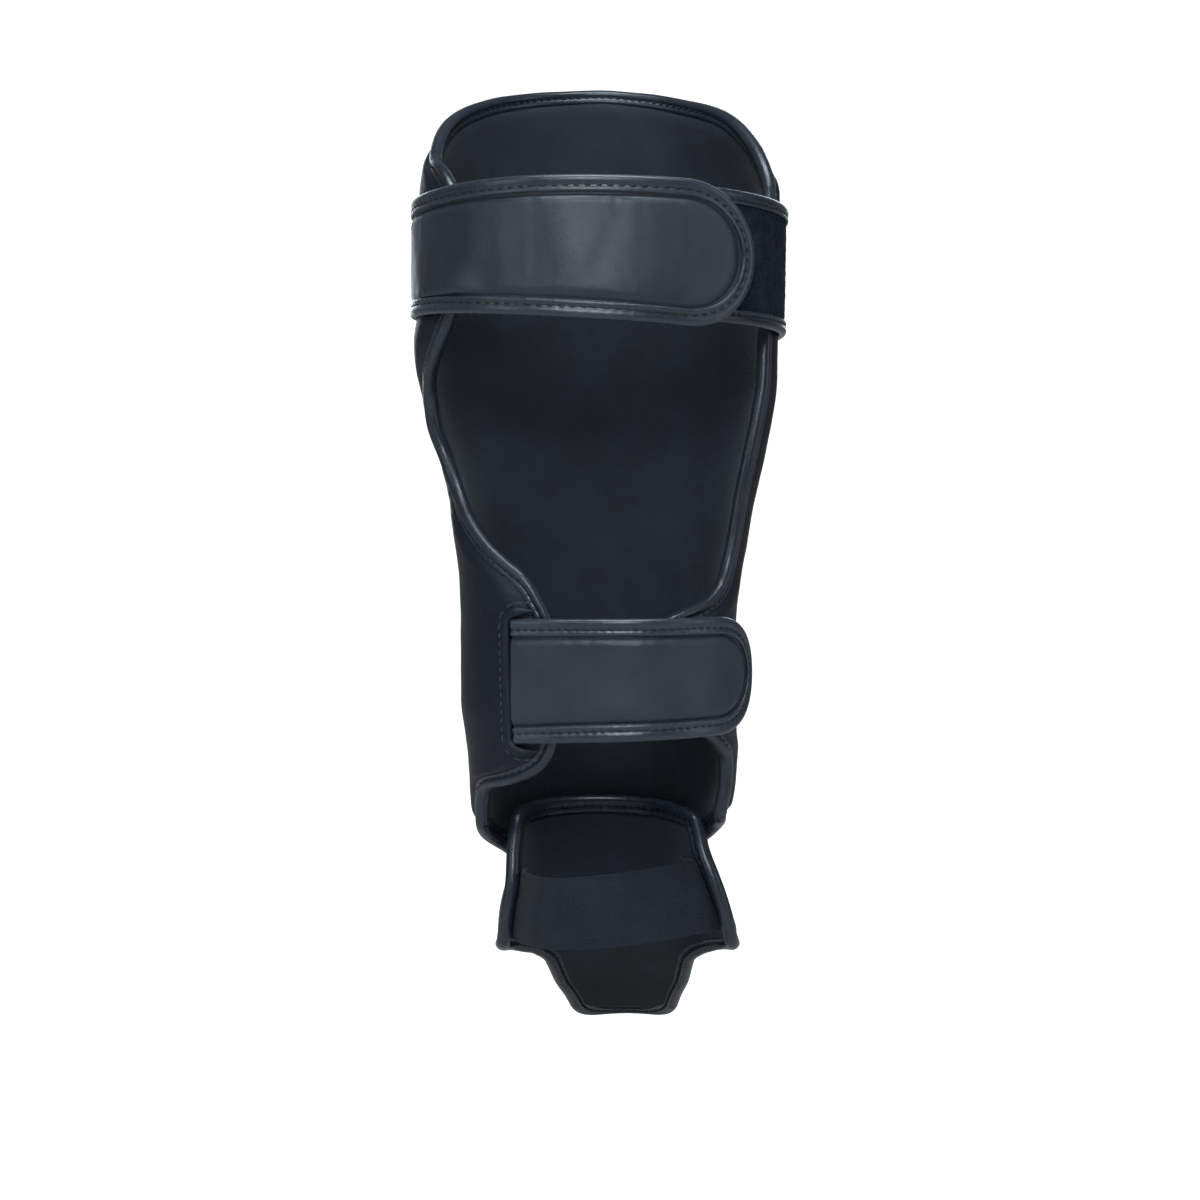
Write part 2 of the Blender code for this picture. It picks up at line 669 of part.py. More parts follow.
def welt_path(strap):
    """A raised cord that stands round the strap's root like a bracket."""
    reach = strap.half_widths[0] + WELT_MARGIN
    turn = np.linspace(0, math.pi / 2, 5)
    top_s = np.concatenate([[WELT_ARM], -WELT_MARGIN + WELT_CORNER * (1 - np.sin(turn))])
    top_h = np.concatenate([[reach], reach - WELT_CORNER * (1 - np.cos(turn))])
    s = np.concatenate([top_s, top_s[::-1]])
    h = np.concatenate([top_h, -top_h[::-1]])
    return strap.point(s, h, WELT_RADIUS - CLEARANCE)


INSTEP_TOP = TUCK - HEM_DROP
INSTEP_FRONT = (
    float(front_at(INSTEP_TOP)) - LINING_THICKNESS - INSTEP_THICKNESS - 2 * WIDE_CLEARANCE
)


def instep_curve(name, scale=1.0, offset=0.0):
    return curve_through(
        column(INSTEP_SECTIONS, "along"), column(INSTEP_SECTIONS, name, scale, offset)
    )


forward_at = instep_curve("forward", INSTEP_LENGTH, INSTEP_FRONT)
drop_at = instep_curve("drop", -INSTEP_LENGTH, INSTEP_TOP)
pitch_at = instep_curve("pitch")
instep_width_at = instep_curve("width", INSTEP_HALF_WIDTH)
instep_depth_at = instep_curve("depth", INSTEP_HALF_WIDTH)
wrap_at = instep_curve("wrap")
side_at = instep_curve("side", INSTEP_HALF_WIDTH)
flare_at = instep_curve("flare", INSTEP_HALF_WIDTH)


def instep_point(u, v):
    """Inside of the instep pad at u, -1 to 1 across, and v, 0 to 1 from tucked to toe end."""
    round_end = 1 - np.sqrt(np.clip(1 - u**2, 0, 1))
    low, high = TUCK_ROUNDING * round_end, 1 - TOE_ROUNDING * round_end
    along = low + v * (high - low)
    turn = np.radians(wrap_at(along)) * u
    pitch = np.radians(pitch_at(along))
    back = instep_depth_at(along) * (1 - np.cos(turn))
    flare = flare_at(along) * np.clip(u, 0, 1) ** 5
    return np.stack(
        [
            side_at(along) + instep_width_at(along) * np.sin(turn) + flare,
            forward_at(along) - back * np.cos(pitch),
            drop_at(along) - back * np.sin(pitch),
        ],
        -1,
    )


def instep_parts(collection):
    """The pad over the foot, its lining, its binding and the elastic band behind the heel."""
    us = np.sin(rim_spacing(INSTEP_COLUMNS, INSTEP_RIM_SHARE) * math.pi / 2)
    vs = even_shares(lambda v: instep_point(0 * v + 1, v) + instep_point(0 * v, v), INSTEP_ROWS)
    inside = instep_point(*np.meshgrid(us, vs))
    normal = -grid_normals(inside)
    thickness = tapered(INSTEP_THICKNESS, edge_distance(inside), INSTEP_TAPER)
    outside = inside + normal * thickness[..., None]
    slab("instep_pad", inside, outside, collection, LEATHER)
    lining_parts("instep_lining", inside, normal, collection)
    radius = INSTEP_BINDING_RADIUS
    path = rim_path(inside, outside, radius)
    rail("instep_binding", path, radius, collection, BINDING_LEATHER, closed=True)
    heel_band(collection)


def ear_point(share, z, inset):
    """A point this far inside an ankle ear, at a share of its half wrap and at a height."""
    low, high = 0.0, 0.5
    for _ in range(40):
        middle = (low + high) / 2
        if instep_point(np.array(share), np.array(middle))[2] > z:
            low = middle
        else:
            high = middle
    step = 0.01
    across = instep_point(np.array([share + step, share - step]), np.array([low, low]))
    along = instep_point(np.array([share, share]), np.array([low + step, low - step]))
    normal = unit(np.cross(across[0] - across[1], along[0] - along[1]))
    point = instep_point(np.array(share), np.array(low))
    towards = np.sign(-normal[0] * share)
    return point + towards * normal * inset


def heel_band(collection):
    """The elastic band, from inside the left ear round the heel to inside the right ear."""
    over_lining = 3 * WIDE_CLEARANCE + LINING_THICKNESS
    ends = ((BAND_HOLD, over_lining), (BAND_LEAVES, BAND_GAP))
    rows = []
    for h in np.linspace(-BAND_WIDTH / 2, BAND_WIDTH / 2, BAND_ROWS + 1):
        low, high = (middle + h for middle in BAND_HEIGHTS)
        left = [ear_point(-share, low, gap) for share, gap in ends]
        right = [ear_point(share, high, gap) for share, gap in ends[::-1]]
        rows.append(band_row(left, right))
    outer = np.array(rows)
    inward = grid_normals(outer)
    inward *= np.sign(np.sum(inward * (outer.mean(axis=(0, 1)) - outer)))
    inner = outer + inward * ELASTIC_THICKNESS
    slab("heel_elastic", inner, outer, collection, ELASTIC_WEAVE)


def band_row(left, right):
    """One line along the band: a straight hold in each ear and a round pull behind the heel."""
    t = np.linspace(0, 1, BAND_COLUMNS - 3)[:, None]
    pull_left = np.array([BAND_SIDES[0], -BAND_REACH, left[1][2]])
    pull_right = np.array([BAND_SIDES[1], -BAND_REACH, right[0][2]])
    round_heel = (
        left[1] * (1 - t) ** 3
        + 3 * pull_left * (1 - t) ** 2 * t
        + 3 * pull_right * (1 - t) * t**2
        + right[0] * t**3
    )
    halves = (left[0] + left[1]) / 2, (right[0] + right[1]) / 2
    return np.vstack([left[0], halves[0], round_heel, halves[1], right[1]])


def build():
    for obj in list(bpy.data.objects):
        bpy.data.objects.remove(obj, do_unlink=True)
    collection = bpy.data.collections.new("shin_guard")
    bpy.context.scene.collection.children.link(collection)
    shell_parts(collection)
    upper_closure(collection)
    lower_closure(collection)
    instep_parts(collection)


build()
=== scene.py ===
"""Looks of the shin guard: leather, padding, bindings, stitching, lining, loop pile and elastic
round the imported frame, in a plain white studio.

Metres, +Z up. The striking face looks along +Y and the straps close along -Y. Angles round the
leg are in degrees from the front: +90 is the right side seen from behind.
"""

import math
from collections import namedtuple

import bpy
import bmesh
import numpy as np
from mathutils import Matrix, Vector, noise


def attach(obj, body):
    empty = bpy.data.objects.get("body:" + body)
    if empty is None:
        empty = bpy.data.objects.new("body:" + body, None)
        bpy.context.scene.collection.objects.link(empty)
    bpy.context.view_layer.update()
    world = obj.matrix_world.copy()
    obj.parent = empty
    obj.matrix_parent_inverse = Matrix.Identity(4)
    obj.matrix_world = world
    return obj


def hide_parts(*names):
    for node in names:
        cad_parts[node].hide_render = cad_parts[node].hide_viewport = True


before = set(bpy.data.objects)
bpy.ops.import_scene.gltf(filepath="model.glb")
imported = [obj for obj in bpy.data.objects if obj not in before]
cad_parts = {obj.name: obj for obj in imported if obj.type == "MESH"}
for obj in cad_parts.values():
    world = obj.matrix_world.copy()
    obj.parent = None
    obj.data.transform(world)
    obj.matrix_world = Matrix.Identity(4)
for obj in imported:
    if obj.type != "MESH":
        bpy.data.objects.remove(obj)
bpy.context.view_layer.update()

# Overall sizes
SHELL_HEIGHT = 0.412  # hem to crown of the shin shell, with its binding
HEM_DROP = 0.138  # hem of the shell below the origin
HOLLOW_WIDTH = 0.166  # inside width at the calf
HOLLOW_DEPTH = 0.130  # inside depth at the calf
MEAN_RADIUS = 0.067  # of the shell's rear edges, for laying them out flat
INSTEP_LENGTH = 0.181  # instep pad along its middle
INSTEP_HALF_WIDTH = 0.0555  # inside half width between the ankle ears
TUCK = 0.030  # how far the instep pad reaches up inside the shell

# Thicknesses
FOAM_THICKNESS = 0.022  # striking face of the shell
WING_THICKNESS = 0.008  # sides and wings of the shell
EDGE_THICKNESS = 0.0046  # any pad where its binding takes hold
INSTEP_THICKNESS = 0.0078
LINING_THICKNESS = 0.0014
TAB_THICKNESS = 0.0022
PATCH_THICKNESS = 0.0017
ELASTIC_THICKNESS = 0.0014
CLEARANCE = 0.0004  # between any two pieces that lie on each other
WIDE_CLEARANCE = 0.0011  # between pieces whose facets do not line up

# Edges and trim
BINDING_RADIUS = 0.0025
INSTEP_BINDING_RADIUS = 0.0029
WELT_RADIUS = 0.0021
WELT_MARGIN = 0.0036  # from the strap's root to the middle of the welt
WELT_ARM = 0.011  # how far the welt runs along the strap at top and bottom
WELT_CORNER = 0.007  # radius of its two corners
WELT_FADE = 0.010  # length over which each end sinks into the leather
WELT_END = 0.2  # size of the ends, as a share of the welt's
WELT_STEP = 0.0008  # between the sections that it is swept through
SHELL_TAPER = 0.026  # width over which the foam thins towards the binding
INSTEP_TAPER = 0.020
STRAP_BORDER = 0.0080  # width of the folded border round a strap
TAB_BORDER = 0.0068

# Straps
UPPER_STRAP_ROOT = -74.0
UPPER_STRAP_TIP = -229.5
UPPER_STRAP_HEIGHTS = (0.1690, 0.1608)  # middle of the strap at root and tip
UPPER_STRAP_HALF_WIDTHS = (0.0290, 0.0345)
UPPER_TAB_SPAN = (60.0, 152.0)
UPPER_TAB_HEIGHT = 0.1630
UPPER_TAB_HALF_WIDTH = 0.0314
LOWER_STRAP_ROOT = -143.0
LOWER_STRAP_TIP = -258.0
LOWER_STRAP_HEIGHTS = (-0.0385, -0.0355)
LOWER_STRAP_HALF_WIDTHS = (0.0300, 0.0285)
LOWER_LOOP_SPAN = (116.0, 150.0)
PATCH_MARGIN = 0.0035  # hook patch inside the strap's border
PATCH_START = 0.74  # share of the strap's length where its hook patch begins

# Heel band
BAND_WIDTH = 0.035
BAND_HEIGHTS = (-0.1530, -0.1477)  # middle of the band at the left and right ear
BAND_HOLD = 0.78  # share of an ear's half wrap where the band is sewn on
BAND_LEAVES = 0.985  # share of it where the band leaves the ear
BAND_GAP = 0.0016  # between the band and the ear where it leaves
BAND_SEWN = 0.0004  # between the band and the ear at its sewn end, inside the lining
BAND_REACH = 0.054  # pull of the band's curve behind the leg's middle
BAND_SIDES = (-0.028, 0.008)  # where that pull acts, left and right

SectionRow = namedtuple("SectionRow", "rise left right front back")
OutlineRow = namedtuple("OutlineRow", "rise angle")
ProfileRow = namedtuple("ProfileRow", "angle rise")
InstepRow = namedtuple("InstepRow", "along forward drop pitch width depth wrap side flare")


def table_of(kind, entries):
    """A table's rows with their columns named."""
    return [kind(*entry) for entry in entries]


# Inside of the shell: rise as a share of SHELL_HEIGHT above the hem, left and right as shares
# of half HOLLOW_WIDTH, front and back as shares of HOLLOW_DEPTH.
SECTIONS = table_of(SectionRow, [
    (0.000, 0.620, 0.620, 0.430, 0.315),
    (0.044, 0.665, 0.660, 0.423, 0.319),
    (0.080, 0.686, 0.700, 0.419, 0.322),
    (0.117, 0.692, 0.733, 0.416, 0.326),
    (0.146, 0.700, 0.740, 0.417, 0.331),
    (0.177, 0.717, 0.725, 0.418, 0.335),
    (0.214, 0.740, 0.723, 0.420, 0.339),
    (0.311, 0.741, 0.724, 0.433, 0.356),
    (0.359, 0.753, 0.750, 0.444, 0.368),
    (0.408, 0.783, 0.793, 0.457, 0.384),
    (0.456, 0.817, 0.835, 0.471, 0.405),
    (0.505, 0.895, 0.890, 0.483, 0.425),
    (0.553, 0.980, 0.938, 0.496, 0.442),
    (0.602, 1.003, 0.972, 0.506, 0.455),
    (0.646, 1.025, 0.975, 0.514, 0.465),
    (0.692, 0.993, 0.983, 0.521, 0.475),
    (0.800, 0.993, 0.992, 0.532, 0.477),
    (0.826, 0.988, 0.990, 0.535, 0.475),
    (0.869, 0.957, 0.945, 0.541, 0.471),
    (0.917, 0.930, 0.880, 0.548, 0.466),
    (0.950, 0.898, 0.845, 0.554, 0.463),
    (1.000, 0.840, 0.800, 0.562, 0.460),
])

# Rear edges of the shell with its binding, from the bottom corner up: how far each side wraps.
LEFT_EDGE = table_of(OutlineRow, [
    (0.062, 97), (0.085, 102), (0.102, 108), (0.110, 116), (0.115, 127),
    (0.121, 138), (0.128, 146), (0.138, 152.5), (0.156, 158), (0.190, 161.5),
    (0.270, 162), (0.316, 158.5), (0.334, 155), (0.352, 151), (0.368, 145.5),
    (0.382, 138), (0.405, 126), (0.433, 113.5), (0.461, 102.5), (0.493, 95),
    (0.524, 92), (0.553, 92.5), (0.578, 96), (0.598, 103), (0.617, 112),
    (0.636, 119), (0.660, 124), (0.710, 127), (0.780, 127), (0.816, 125),
    (0.831, 121.5), (0.844, 116.5), (0.855, 110), (0.862, 104),
])
RIGHT_EDGE = table_of(OutlineRow, [
    (0.070, 102), (0.095, 103), (0.118, 102), (0.136, 103), (0.150, 110),
    (0.162, 117), (0.172, 126), (0.182, 140), (0.200, 154), (0.230, 161),
    (0.270, 161), (0.300, 157), (0.315, 150), (0.322, 143), (0.328, 135.5),
    (0.335, 127.5), (0.346, 119.5), (0.363, 112), (0.390, 108), (0.430, 107),
    (0.500, 108.5), (0.600, 107), (0.680, 105), (0.780, 101), (0.810, 98),
])

# Crown and hem with their binding: rise of the outline at each angle, left side negative.
CROWN = table_of(ProfileRow, [
    (-104, 0.862), (-98, 0.873), (-91, 0.891), (-84, 0.911), (-74, 0.934),
    (-60, 0.958), (-42, 0.980), (-20, 0.995), (0, 1.000), (20, 0.993),
    (42, 0.974), (58, 0.955), (70, 0.933), (80, 0.906), (88, 0.876),
    (94, 0.842), (98, 0.810),
])
HEM = table_of(ProfileRow, [
    (-97, 0.062), (-84, 0.046), (-62, 0.024), (-50, 0.010), (-30, 0.002),
    (0, 0.000), (30, 0.004), (50, 0.016), (64, 0.032), (86, 0.058),
    (102, 0.070),
])

# Inside of the instep pad, from its tucked end to the toe end: forward and drop of the middle
# from the tucked end as shares of INSTEP_LENGTH, pitch of the section in degrees, half width
# and depth as shares of INSTEP_HALF_WIDTH, wrap in degrees to each side, and as shares of
# INSTEP_HALF_WIDTH the sideways turn of the foot and how far the right ear stands out.
INSTEP_SECTIONS = table_of(InstepRow, [
    (0.000, 0.000, 0.000, 0, 0.71, 0.66, 76, -0.005, 0.105),
    (0.080, 0.000, 0.080, 2, 0.735, 0.700, 86, 0.000, 0.125),
    (0.155, 0.003, 0.155, 6, 0.805, 0.750, 91, 0.055, 0.110),
    (0.225, 0.016, 0.224, 13, 0.93, 0.77, 94, 0.12, 0.045),
    (0.265, 0.034, 0.260, 17, 0.98, 0.78, 93, 0.15, 0.010),
    (0.300, 0.050, 0.288, 17, 1.00, 0.78, 86, 0.16, 0.0),
    (0.330, 0.069, 0.312, 20, 1.00, 0.78, 73, 0.17, 0.0),
    (0.360, 0.088, 0.334, 26, 0.97, 0.77, 60, 0.18, 0.0),
    (0.400, 0.117, 0.362, 35, 0.92, 0.75, 50, 0.18, 0.0),
    (0.480, 0.178, 0.414, 45, 0.84, 0.70, 45, 0.19, 0.0),
    (0.600, 0.276, 0.485, 50, 0.77, 0.66, 45, 0.21, 0.0),
    (0.740, 0.392, 0.563, 53, 0.68, 0.62, 43, 0.23, 0.0),
    (0.870, 0.500, 0.635, 55, 0.61, 0.60, 41, 0.25, 0.0),
    (1.000, 0.608, 0.706, 56, 0.56, 0.58, 38, 0.27, 0.0),
])
TOE_ROUNDING = 0.17  # share of the pad's length taken by its rounded toe end
TUCK_ROUNDING = 0.03
CORNER_SHARPNESS = 28  # how late the shell's ends turn from its rear edges to crown and hem


def curve_through(xs, ys):
    """A smooth curve through the table's points that never swings past them."""
    xs = np.asarray(xs, float)
    ys = np.asarray(ys, float)
    widths = np.diff(xs)
    slopes = np.diff(ys) / widths
    tangents = np.zeros(len(xs))
    tangents[0], tangents[-1] = slopes[0], slopes[-1]
    for i in range(1, len(xs) - 1):
        if slopes[i - 1] * slopes[i] > 0:
            before = 2 * widths[i] + widths[i - 1]
            after = widths[i] + 2 * widths[i - 1]
            tangents[i] = (before + after) / (before / slopes[i - 1] + after / slopes[i])

    def value(x):
        x = np.clip(np.asarray(x, float), xs[0], xs[-1])
        i = np.clip(np.searchsorted(xs, x) - 1, 0, len(widths) - 1)
        width = widths[i]
        t = (x - xs[i]) / width
        return (
            ys[i] * (1 + 2 * t) * (1 - t) ** 2
            + tangents[i] * width * t * (1 - t) ** 2
            + ys[i + 1] * t**2 * (3 - 2 * t)
            + tangents[i + 1] * width * t**2 * (t - 1)
        )

    return value


def column(rows, name, scale=1.0, offset=0.0):
    return [getattr(row, name) * scale + offset for row in rows]


def lengths_along(points, axis=0):
    """Length from the start of each line of points, along this axis of their grid."""
    steps = np.linalg.norm(np.diff(points, axis=axis), axis=-1)
    return np.concatenate([0 * steps.take([0], axis), steps.cumsum(axis)], axis)


def height(rise):
    """Height above the origin of a share of the shell's height."""
    return rise * SHELL_HEIGHT - HEM_DROP


def ease(share):
    share = np.clip(share, 0, 1)
    return share * share * (3 - 2 * share)


SECTION_HEIGHTS = column(SECTIONS, "rise", SHELL_HEIGHT, -HEM_DROP)
left_at, right_at, front_at, back_at = (
    curve_through(SECTION_HEIGHTS, column(SECTIONS, name, scale))
    for name, scale in (
        ("left", HOLLOW_WIDTH / 2),
        ("right", HOLLOW_WIDTH / 2),
        ("front", HOLLOW_DEPTH),
        ("back", HOLLOW_DEPTH),
    )
)
crown_at = curve_through(column(CROWN, "angle"), column(CROWN, "rise"))
hem_at = curve_through(column(HEM, "angle"), column(HEM, "rise"))


def hollow_point(angle, z):
    """A point on the inside of the shell, or where it would be if it closed at the back."""
    turn = np.radians(angle)
    width = np.where(np.sin(turn) >= 0, right_at(z), left_at(z))
    depth = np.where(np.cos(turn) >= 0, front_at(z), back_at(z))
    return np.stack([width * np.sin(turn), depth * np.cos(turn), z + 0 * turn], -1)


def unit(vectors):
    return vectors / np.linalg.norm(vectors, axis=-1, keepdims=True)


def outward(angle, z):
    step_angle, step_z = 0.5, 0.001
    across = hollow_point(angle + step_angle, z) - hollow_point(angle - step_angle, z)
    along = hollow_point(angle, z + step_z) - hollow_point(angle, z - step_z)
    return unit(np.cross(along, across))


def wall(angle):
    """Full thickness of the shell: thick foam over the shin, thin at the sides and back."""
    flat_to, thin_from = 34.0, 72.0
    folded = np.abs((np.asarray(angle, float) + 180) % 360 - 180)
    share = ease((thin_from - folded) / (thin_from - flat_to))
    return WING_THICKNESS + (FOAM_THICKNESS - WING_THICKNESS) * share


def skin_point(angle, z, lift):
    """A point this far outside the full thickness of the shell."""
    return hollow_point(angle, z) + outward(angle, z) * (wall(angle) + lift)[..., None]


def edge_line(rows):
    """Angle and rise of the pad's rear edge, just inside its binding, by share of its length."""
    flat = np.stack(
        [np.radians(column(rows, "angle")) * MEAN_RADIUS, column(rows, "rise", SHELL_HEIGHT)], -1
    )
    along = lengths_along(flat)
    fine = np.linspace(0, along[-1], 241)
    line = np.stack([curve_through(along, flat[:, axis])(fine) for axis in range(2)], -1)
    forward = unit(np.gradient(line, axis=0))
    inward = np.stack([-forward[:, 1], forward[:, 0]], -1)
    line = line + inward * (2 * BINDING_RADIUS + CLEARANCE)
    shares = fine / along[-1]

    def angle(share):
        return np.interp(share, shares, np.degrees(line[:, 0] / MEAN_RADIUS))

    def rise(share):
        return np.interp(share, shares, line[:, 1] / SHELL_HEIGHT)

    return angle, rise


left_angle, left_rise = edge_line(LEFT_EDGE)
right_angle, right_rise = edge_line(RIGHT_EDGE)


def bound(profile, angle, side):
    """Rise of the pad's crown or hem, inside its binding. The side is 1 for the hem."""
    step = 1.0
    slope = (profile(angle + step) - profile(angle - step)) * SHELL_HEIGHT
    slope = slope / (2 * math.radians(step) * MEAN_RADIUS)
    inset = (2 * BINDING_RADIUS + CLEARANCE) * np.minimum(np.hypot(1, slope), 1.4)
    return profile(angle) + side * inset / SHELL_HEIGHT


def shell_place(u, v):
    """Angle and height of the shell at u, -1 to 1 across, and v, 0 to 1 from hem to crown."""
    angle = np.where(u < 0, u * left_angle(v), u * right_angle(v))
    low = bound(hem_at, np.where(u < 0, u * left_angle(0), u * right_angle(0)), 1)
    high = bound(crown_at, np.where(u < 0, u * left_angle(1), u * right_angle(1)), -1)
    low_middle, high_middle = bound(hem_at, 0.0, 1), bound(crown_at, 0.0, -1)
    pull = 1 - (1 - np.abs(u)) ** 2

    def rise(share):
        middle = low_middle + (high_middle - low_middle) * share
        side = np.where(u < 0, left_rise(share), right_rise(share))
        return (1 - pull) * middle + pull * side

    hem = (low - rise(0.0)) * (1 - v) ** CORNER_SHARPNESS
    crown = (high - rise(1.0)) * v**CORNER_SHARPNESS
    return angle, height(rise(v) + hem + crown)


def even_shares(line, count):
    """Shares from 0 to 1 that part a line, given as a function of them, into equal lengths."""
    fine = np.linspace(0, 1, 401)
    along = lengths_along(line(fine))
    return np.interp(np.linspace(0, along[-1], count + 1), along, fine)


def rim_spacing(count, border, low=-1.0, high=1.0):
    """Evenly spaced values whose first and last step is the border's share."""
    middle = np.linspace(low + border, high - border, count - 1)
    return np.concatenate([[low], middle, [high]])


def edge_distance(points):
    """Distance of each point of a grid to the grid's nearest side, along the surface."""
    from_left, from_low = lengths_along(points, 1), lengths_along(points)
    sides = np.minimum(from_left, from_left[:, -1:] - from_left)
    return np.minimum(sides, np.minimum(from_low, from_low[-1:] - from_low))


def ring(grid):
    """The points round a grid's four sides, in order."""
    return np.concatenate([grid[0, :-1], grid[:-1, -1], grid[-1, :0:-1], grid[:0:-1, 0]])


def grid_normals(points):
    across = np.gradient(points, axis=1)
    along = np.gradient(points, axis=0)
    return unit(np.cross(along, across))


class Wrap:
    """A band laid round the leg on the outside of the shell, measured flat: s runs along it
    from its root and h up from its middle."""

    def __init__(self, start, end, heights, half_widths, lifts):
        before = start + WRAP_LEAD
        samples = np.linspace(before, end, 201)
        line = skin_point(samples, 0 * samples + sum(heights) / 2, 0 * samples)
        lengths = lengths_along(line)
        lengths = lengths - np.interp(before - start, before - samples, lengths)
        self.length = lengths[-1]
        self.angle_at = lambda s: np.interp(s, lengths, samples)
        self.heights, self.half_widths, self.lifts = heights, half_widths, lifts

    def half_width(self, s):
        low, high = self.half_widths
        return low + (high - low) * np.clip(s / self.length, 0, 1)

    def lift(self, s):
        """The band rises gently from what its root lies on to what its tip lies on."""
        share = np.clip(s / self.length, 0, 1)
        rise = ease((share - LIFT_START) / LIFT_SPAN)
        return self.lifts[0] + (self.lifts[1] - self.lifts[0]) * rise

    def point(self, s, h, raise_by=0.0):
        middle = self.heights[0] + (self.heights[1] - self.heights[0]) * s / self.length
        return skin_point(self.angle_at(s), middle + h, self.lift(s) + raise_by)

    def up(self, s, h):
        return unit(self.point(s, h, 0.001) - self.point(s, h))

    def panel(self, inset, columns, rows):
        """Grid over the strap, round at its tip, the inset inside its outline."""
        across = np.sin(np.linspace(-1, 1, rows + 1) * math.pi / 2)
        share, across = np.meshgrid(np.linspace(0, 1, columns + 1), across)
        radius = self.half_widths[1] - inset
        straight = self.length - self.half_widths[1]
        s = share * (straight + radius * np.sqrt(np.clip(1 - across**2, 0, 1)))
        return s, across * (self.half_width(s) - inset)


INSTEP_TOP = TUCK - HEM_DROP
INSTEP_FRONT = front_at(INSTEP_TOP) - LINING_THICKNESS - INSTEP_THICKNESS - 2 * WIDE_CLEARANCE


def instep_curve(name, scale=1.0, offset=0.0):
    values = column(INSTEP_SECTIONS, name, scale, offset)
    return curve_through(column(INSTEP_SECTIONS, "along"), values)


forward_at = instep_curve("forward", INSTEP_LENGTH, INSTEP_FRONT)
drop_at = instep_curve("drop", -INSTEP_LENGTH, INSTEP_TOP)
pitch_at = instep_curve("pitch")
instep_width_at = instep_curve("width", INSTEP_HALF_WIDTH)
instep_depth_at = instep_curve("depth", INSTEP_HALF_WIDTH)
wrap_at = instep_curve("wrap")
side_at = instep_curve("side", INSTEP_HALF_WIDTH)
flare_at = instep_curve("flare", INSTEP_HALF_WIDTH)


def instep_point(u, v):
    """Inside of the instep pad at u, -1 to 1 across, and v, 0 to 1 from tucked to toe end."""
    round_end = 1 - np.sqrt(np.clip(1 - u**2, 0, 1))
    low, high = TUCK_ROUNDING * round_end, 1 - TOE_ROUNDING * round_end
    along = low + v * (high - low)
    turn = np.radians(wrap_at(along)) * u
    pitch = np.radians(pitch_at(along))
    back = instep_depth_at(along) * (1 - np.cos(turn))
    flare = flare_at(along) * np.clip(u, 0, 1) ** 5
    return np.stack(
        [
            side_at(along) + instep_width_at(along) * np.sin(turn) + flare,
            forward_at(along) - back * np.cos(pitch),
            drop_at(along) - back * np.sin(pitch),
        ],
        -1,
    )


def ear_point(share, z, inset):
    """A point this far inside an ankle ear, at a share of its half wrap and at a height."""
    low, high = 0.0, 0.5
    for _ in range(40):
        middle = (low + high) / 2
        if instep_point(np.array(share), np.array(middle))[2] > z:
            low = middle
        else:
            high = middle
    step = 0.01
    across = instep_point(np.array([share + step, share - step]), np.array([low, low]))
    along = instep_point(np.array([share, share]), np.array([low + step, low - step]))
    normal = unit(np.cross(across[0] - across[1], along[0] - along[1]))
    point = instep_point(np.array(share), np.array(low))
    towards = np.sign(-normal[0] * share)
    return point + towards * normal * inset


# Looks: the folded edgings, the stitching and the weave
TAPE_LEG = 0.0022  # how far a pad's edging folds back over its face
FOLD_LINE = 0.0005  # the flat that a pad keeps beside its edging
BEAD_HEIGHT = 0.0034  # from the middle of a pad's edge to the top of its edging
STRAP_INSET = 0.0030  # from a strap's outline to the panel's edge inside the edging
STRAP_BEAD_HEIGHT = 0.0021
TAB_BEAD_HEIGHT = 0.0022
INSTEP_BEAD_HEIGHT = BEAD_HEIGHT * 1.05
PANEL_THICKNESS = 0.0021
PANEL_CROWN = 0.0010  # how far a strap's face swells between its edgings
PANEL_SHOULDER = 0.0045  # width of that swelling's rise beside the edging
GROOVE_DEPTH = 0.0009  # of the fold line where a strap's panel meets its edging
GROOVE_WIDTH = 0.0010
PUCKER_PLACE = 0.0090  # from a strap panel's edge to the middle of its puckers
PUCKER_WIDTH = 0.0030
STITCH_PITCH = 0.0041
STITCH_LENGTH = 0.0029
STITCH_RADIUS = 0.00042
STITCH_DIVE = 0.0009  # how far a stitch's ends dive into the leather
STITCH_SEAT = 0.80  # height of the stitches, as a share of the edging's
PINCH_DEPTH = 0.10  # how far a stitch pulls the edging in, as a share of its height
TAPE_LAP = 0.0002  # of the edging's hollow inside over a pad's edge
WELT_SEAM = 0.0040  # from the middle of the welt to its stitches
WELT_STITCH_LIFT = 0.0014  # of those stitches above the welt's underside
TAB_CORNER = 4.0  # degrees over which the free corners of the loop tab round off
TAB_CORNER_DROP = 0.006
HOOK_PITCH = 0.0016
HOOK_HEIGHT = 0.0002
RIB_PITCH = 0.00115
RIB_HEIGHT = 0.00018
WEAVE_PITCH = 2.4 * RIB_PITCH  # of the crosswise weave along the band
BAND_PLAIN = 0.006  # length over which the ribs fade towards each sewn end
BAND_HELD_POINTS = 7  # of each line of the band inside either ear
CLOTH_MARGIN = 0.0030  # from a pad's edge to its lining, just inside the edging
CLOTH_LIFT = 0.0001  # between the lining and the pad
CLOTH_EDGE = 0.0003  # depth of the lining at its edge
CLOTH_SWELL = 0.0009  # by which it is deeper away from its edge
CLOTH_SHOULDER = 0.004  # width over which it swells
WAVES_FROM = 0.01  # width over which the waves of the cloth and the instep pad rise
SHELL_WAVES_FROM = 0.030  # the same for the shell's
RELIEF_FROM = 0.004  # width over which all of the shell's unevenness rises
SHELL_PUCKER_PLACE = 0.006  # from the shell's edge to the middle of its puckers
SHELL_PUCKER_WIDTH = 0.004
PILE_EDGE = 0.0015  # width over which the nap rises
LIFT_START, LIFT_SPAN = 0.2, 0.35  # where a strap rises onto its tab, as shares of its length
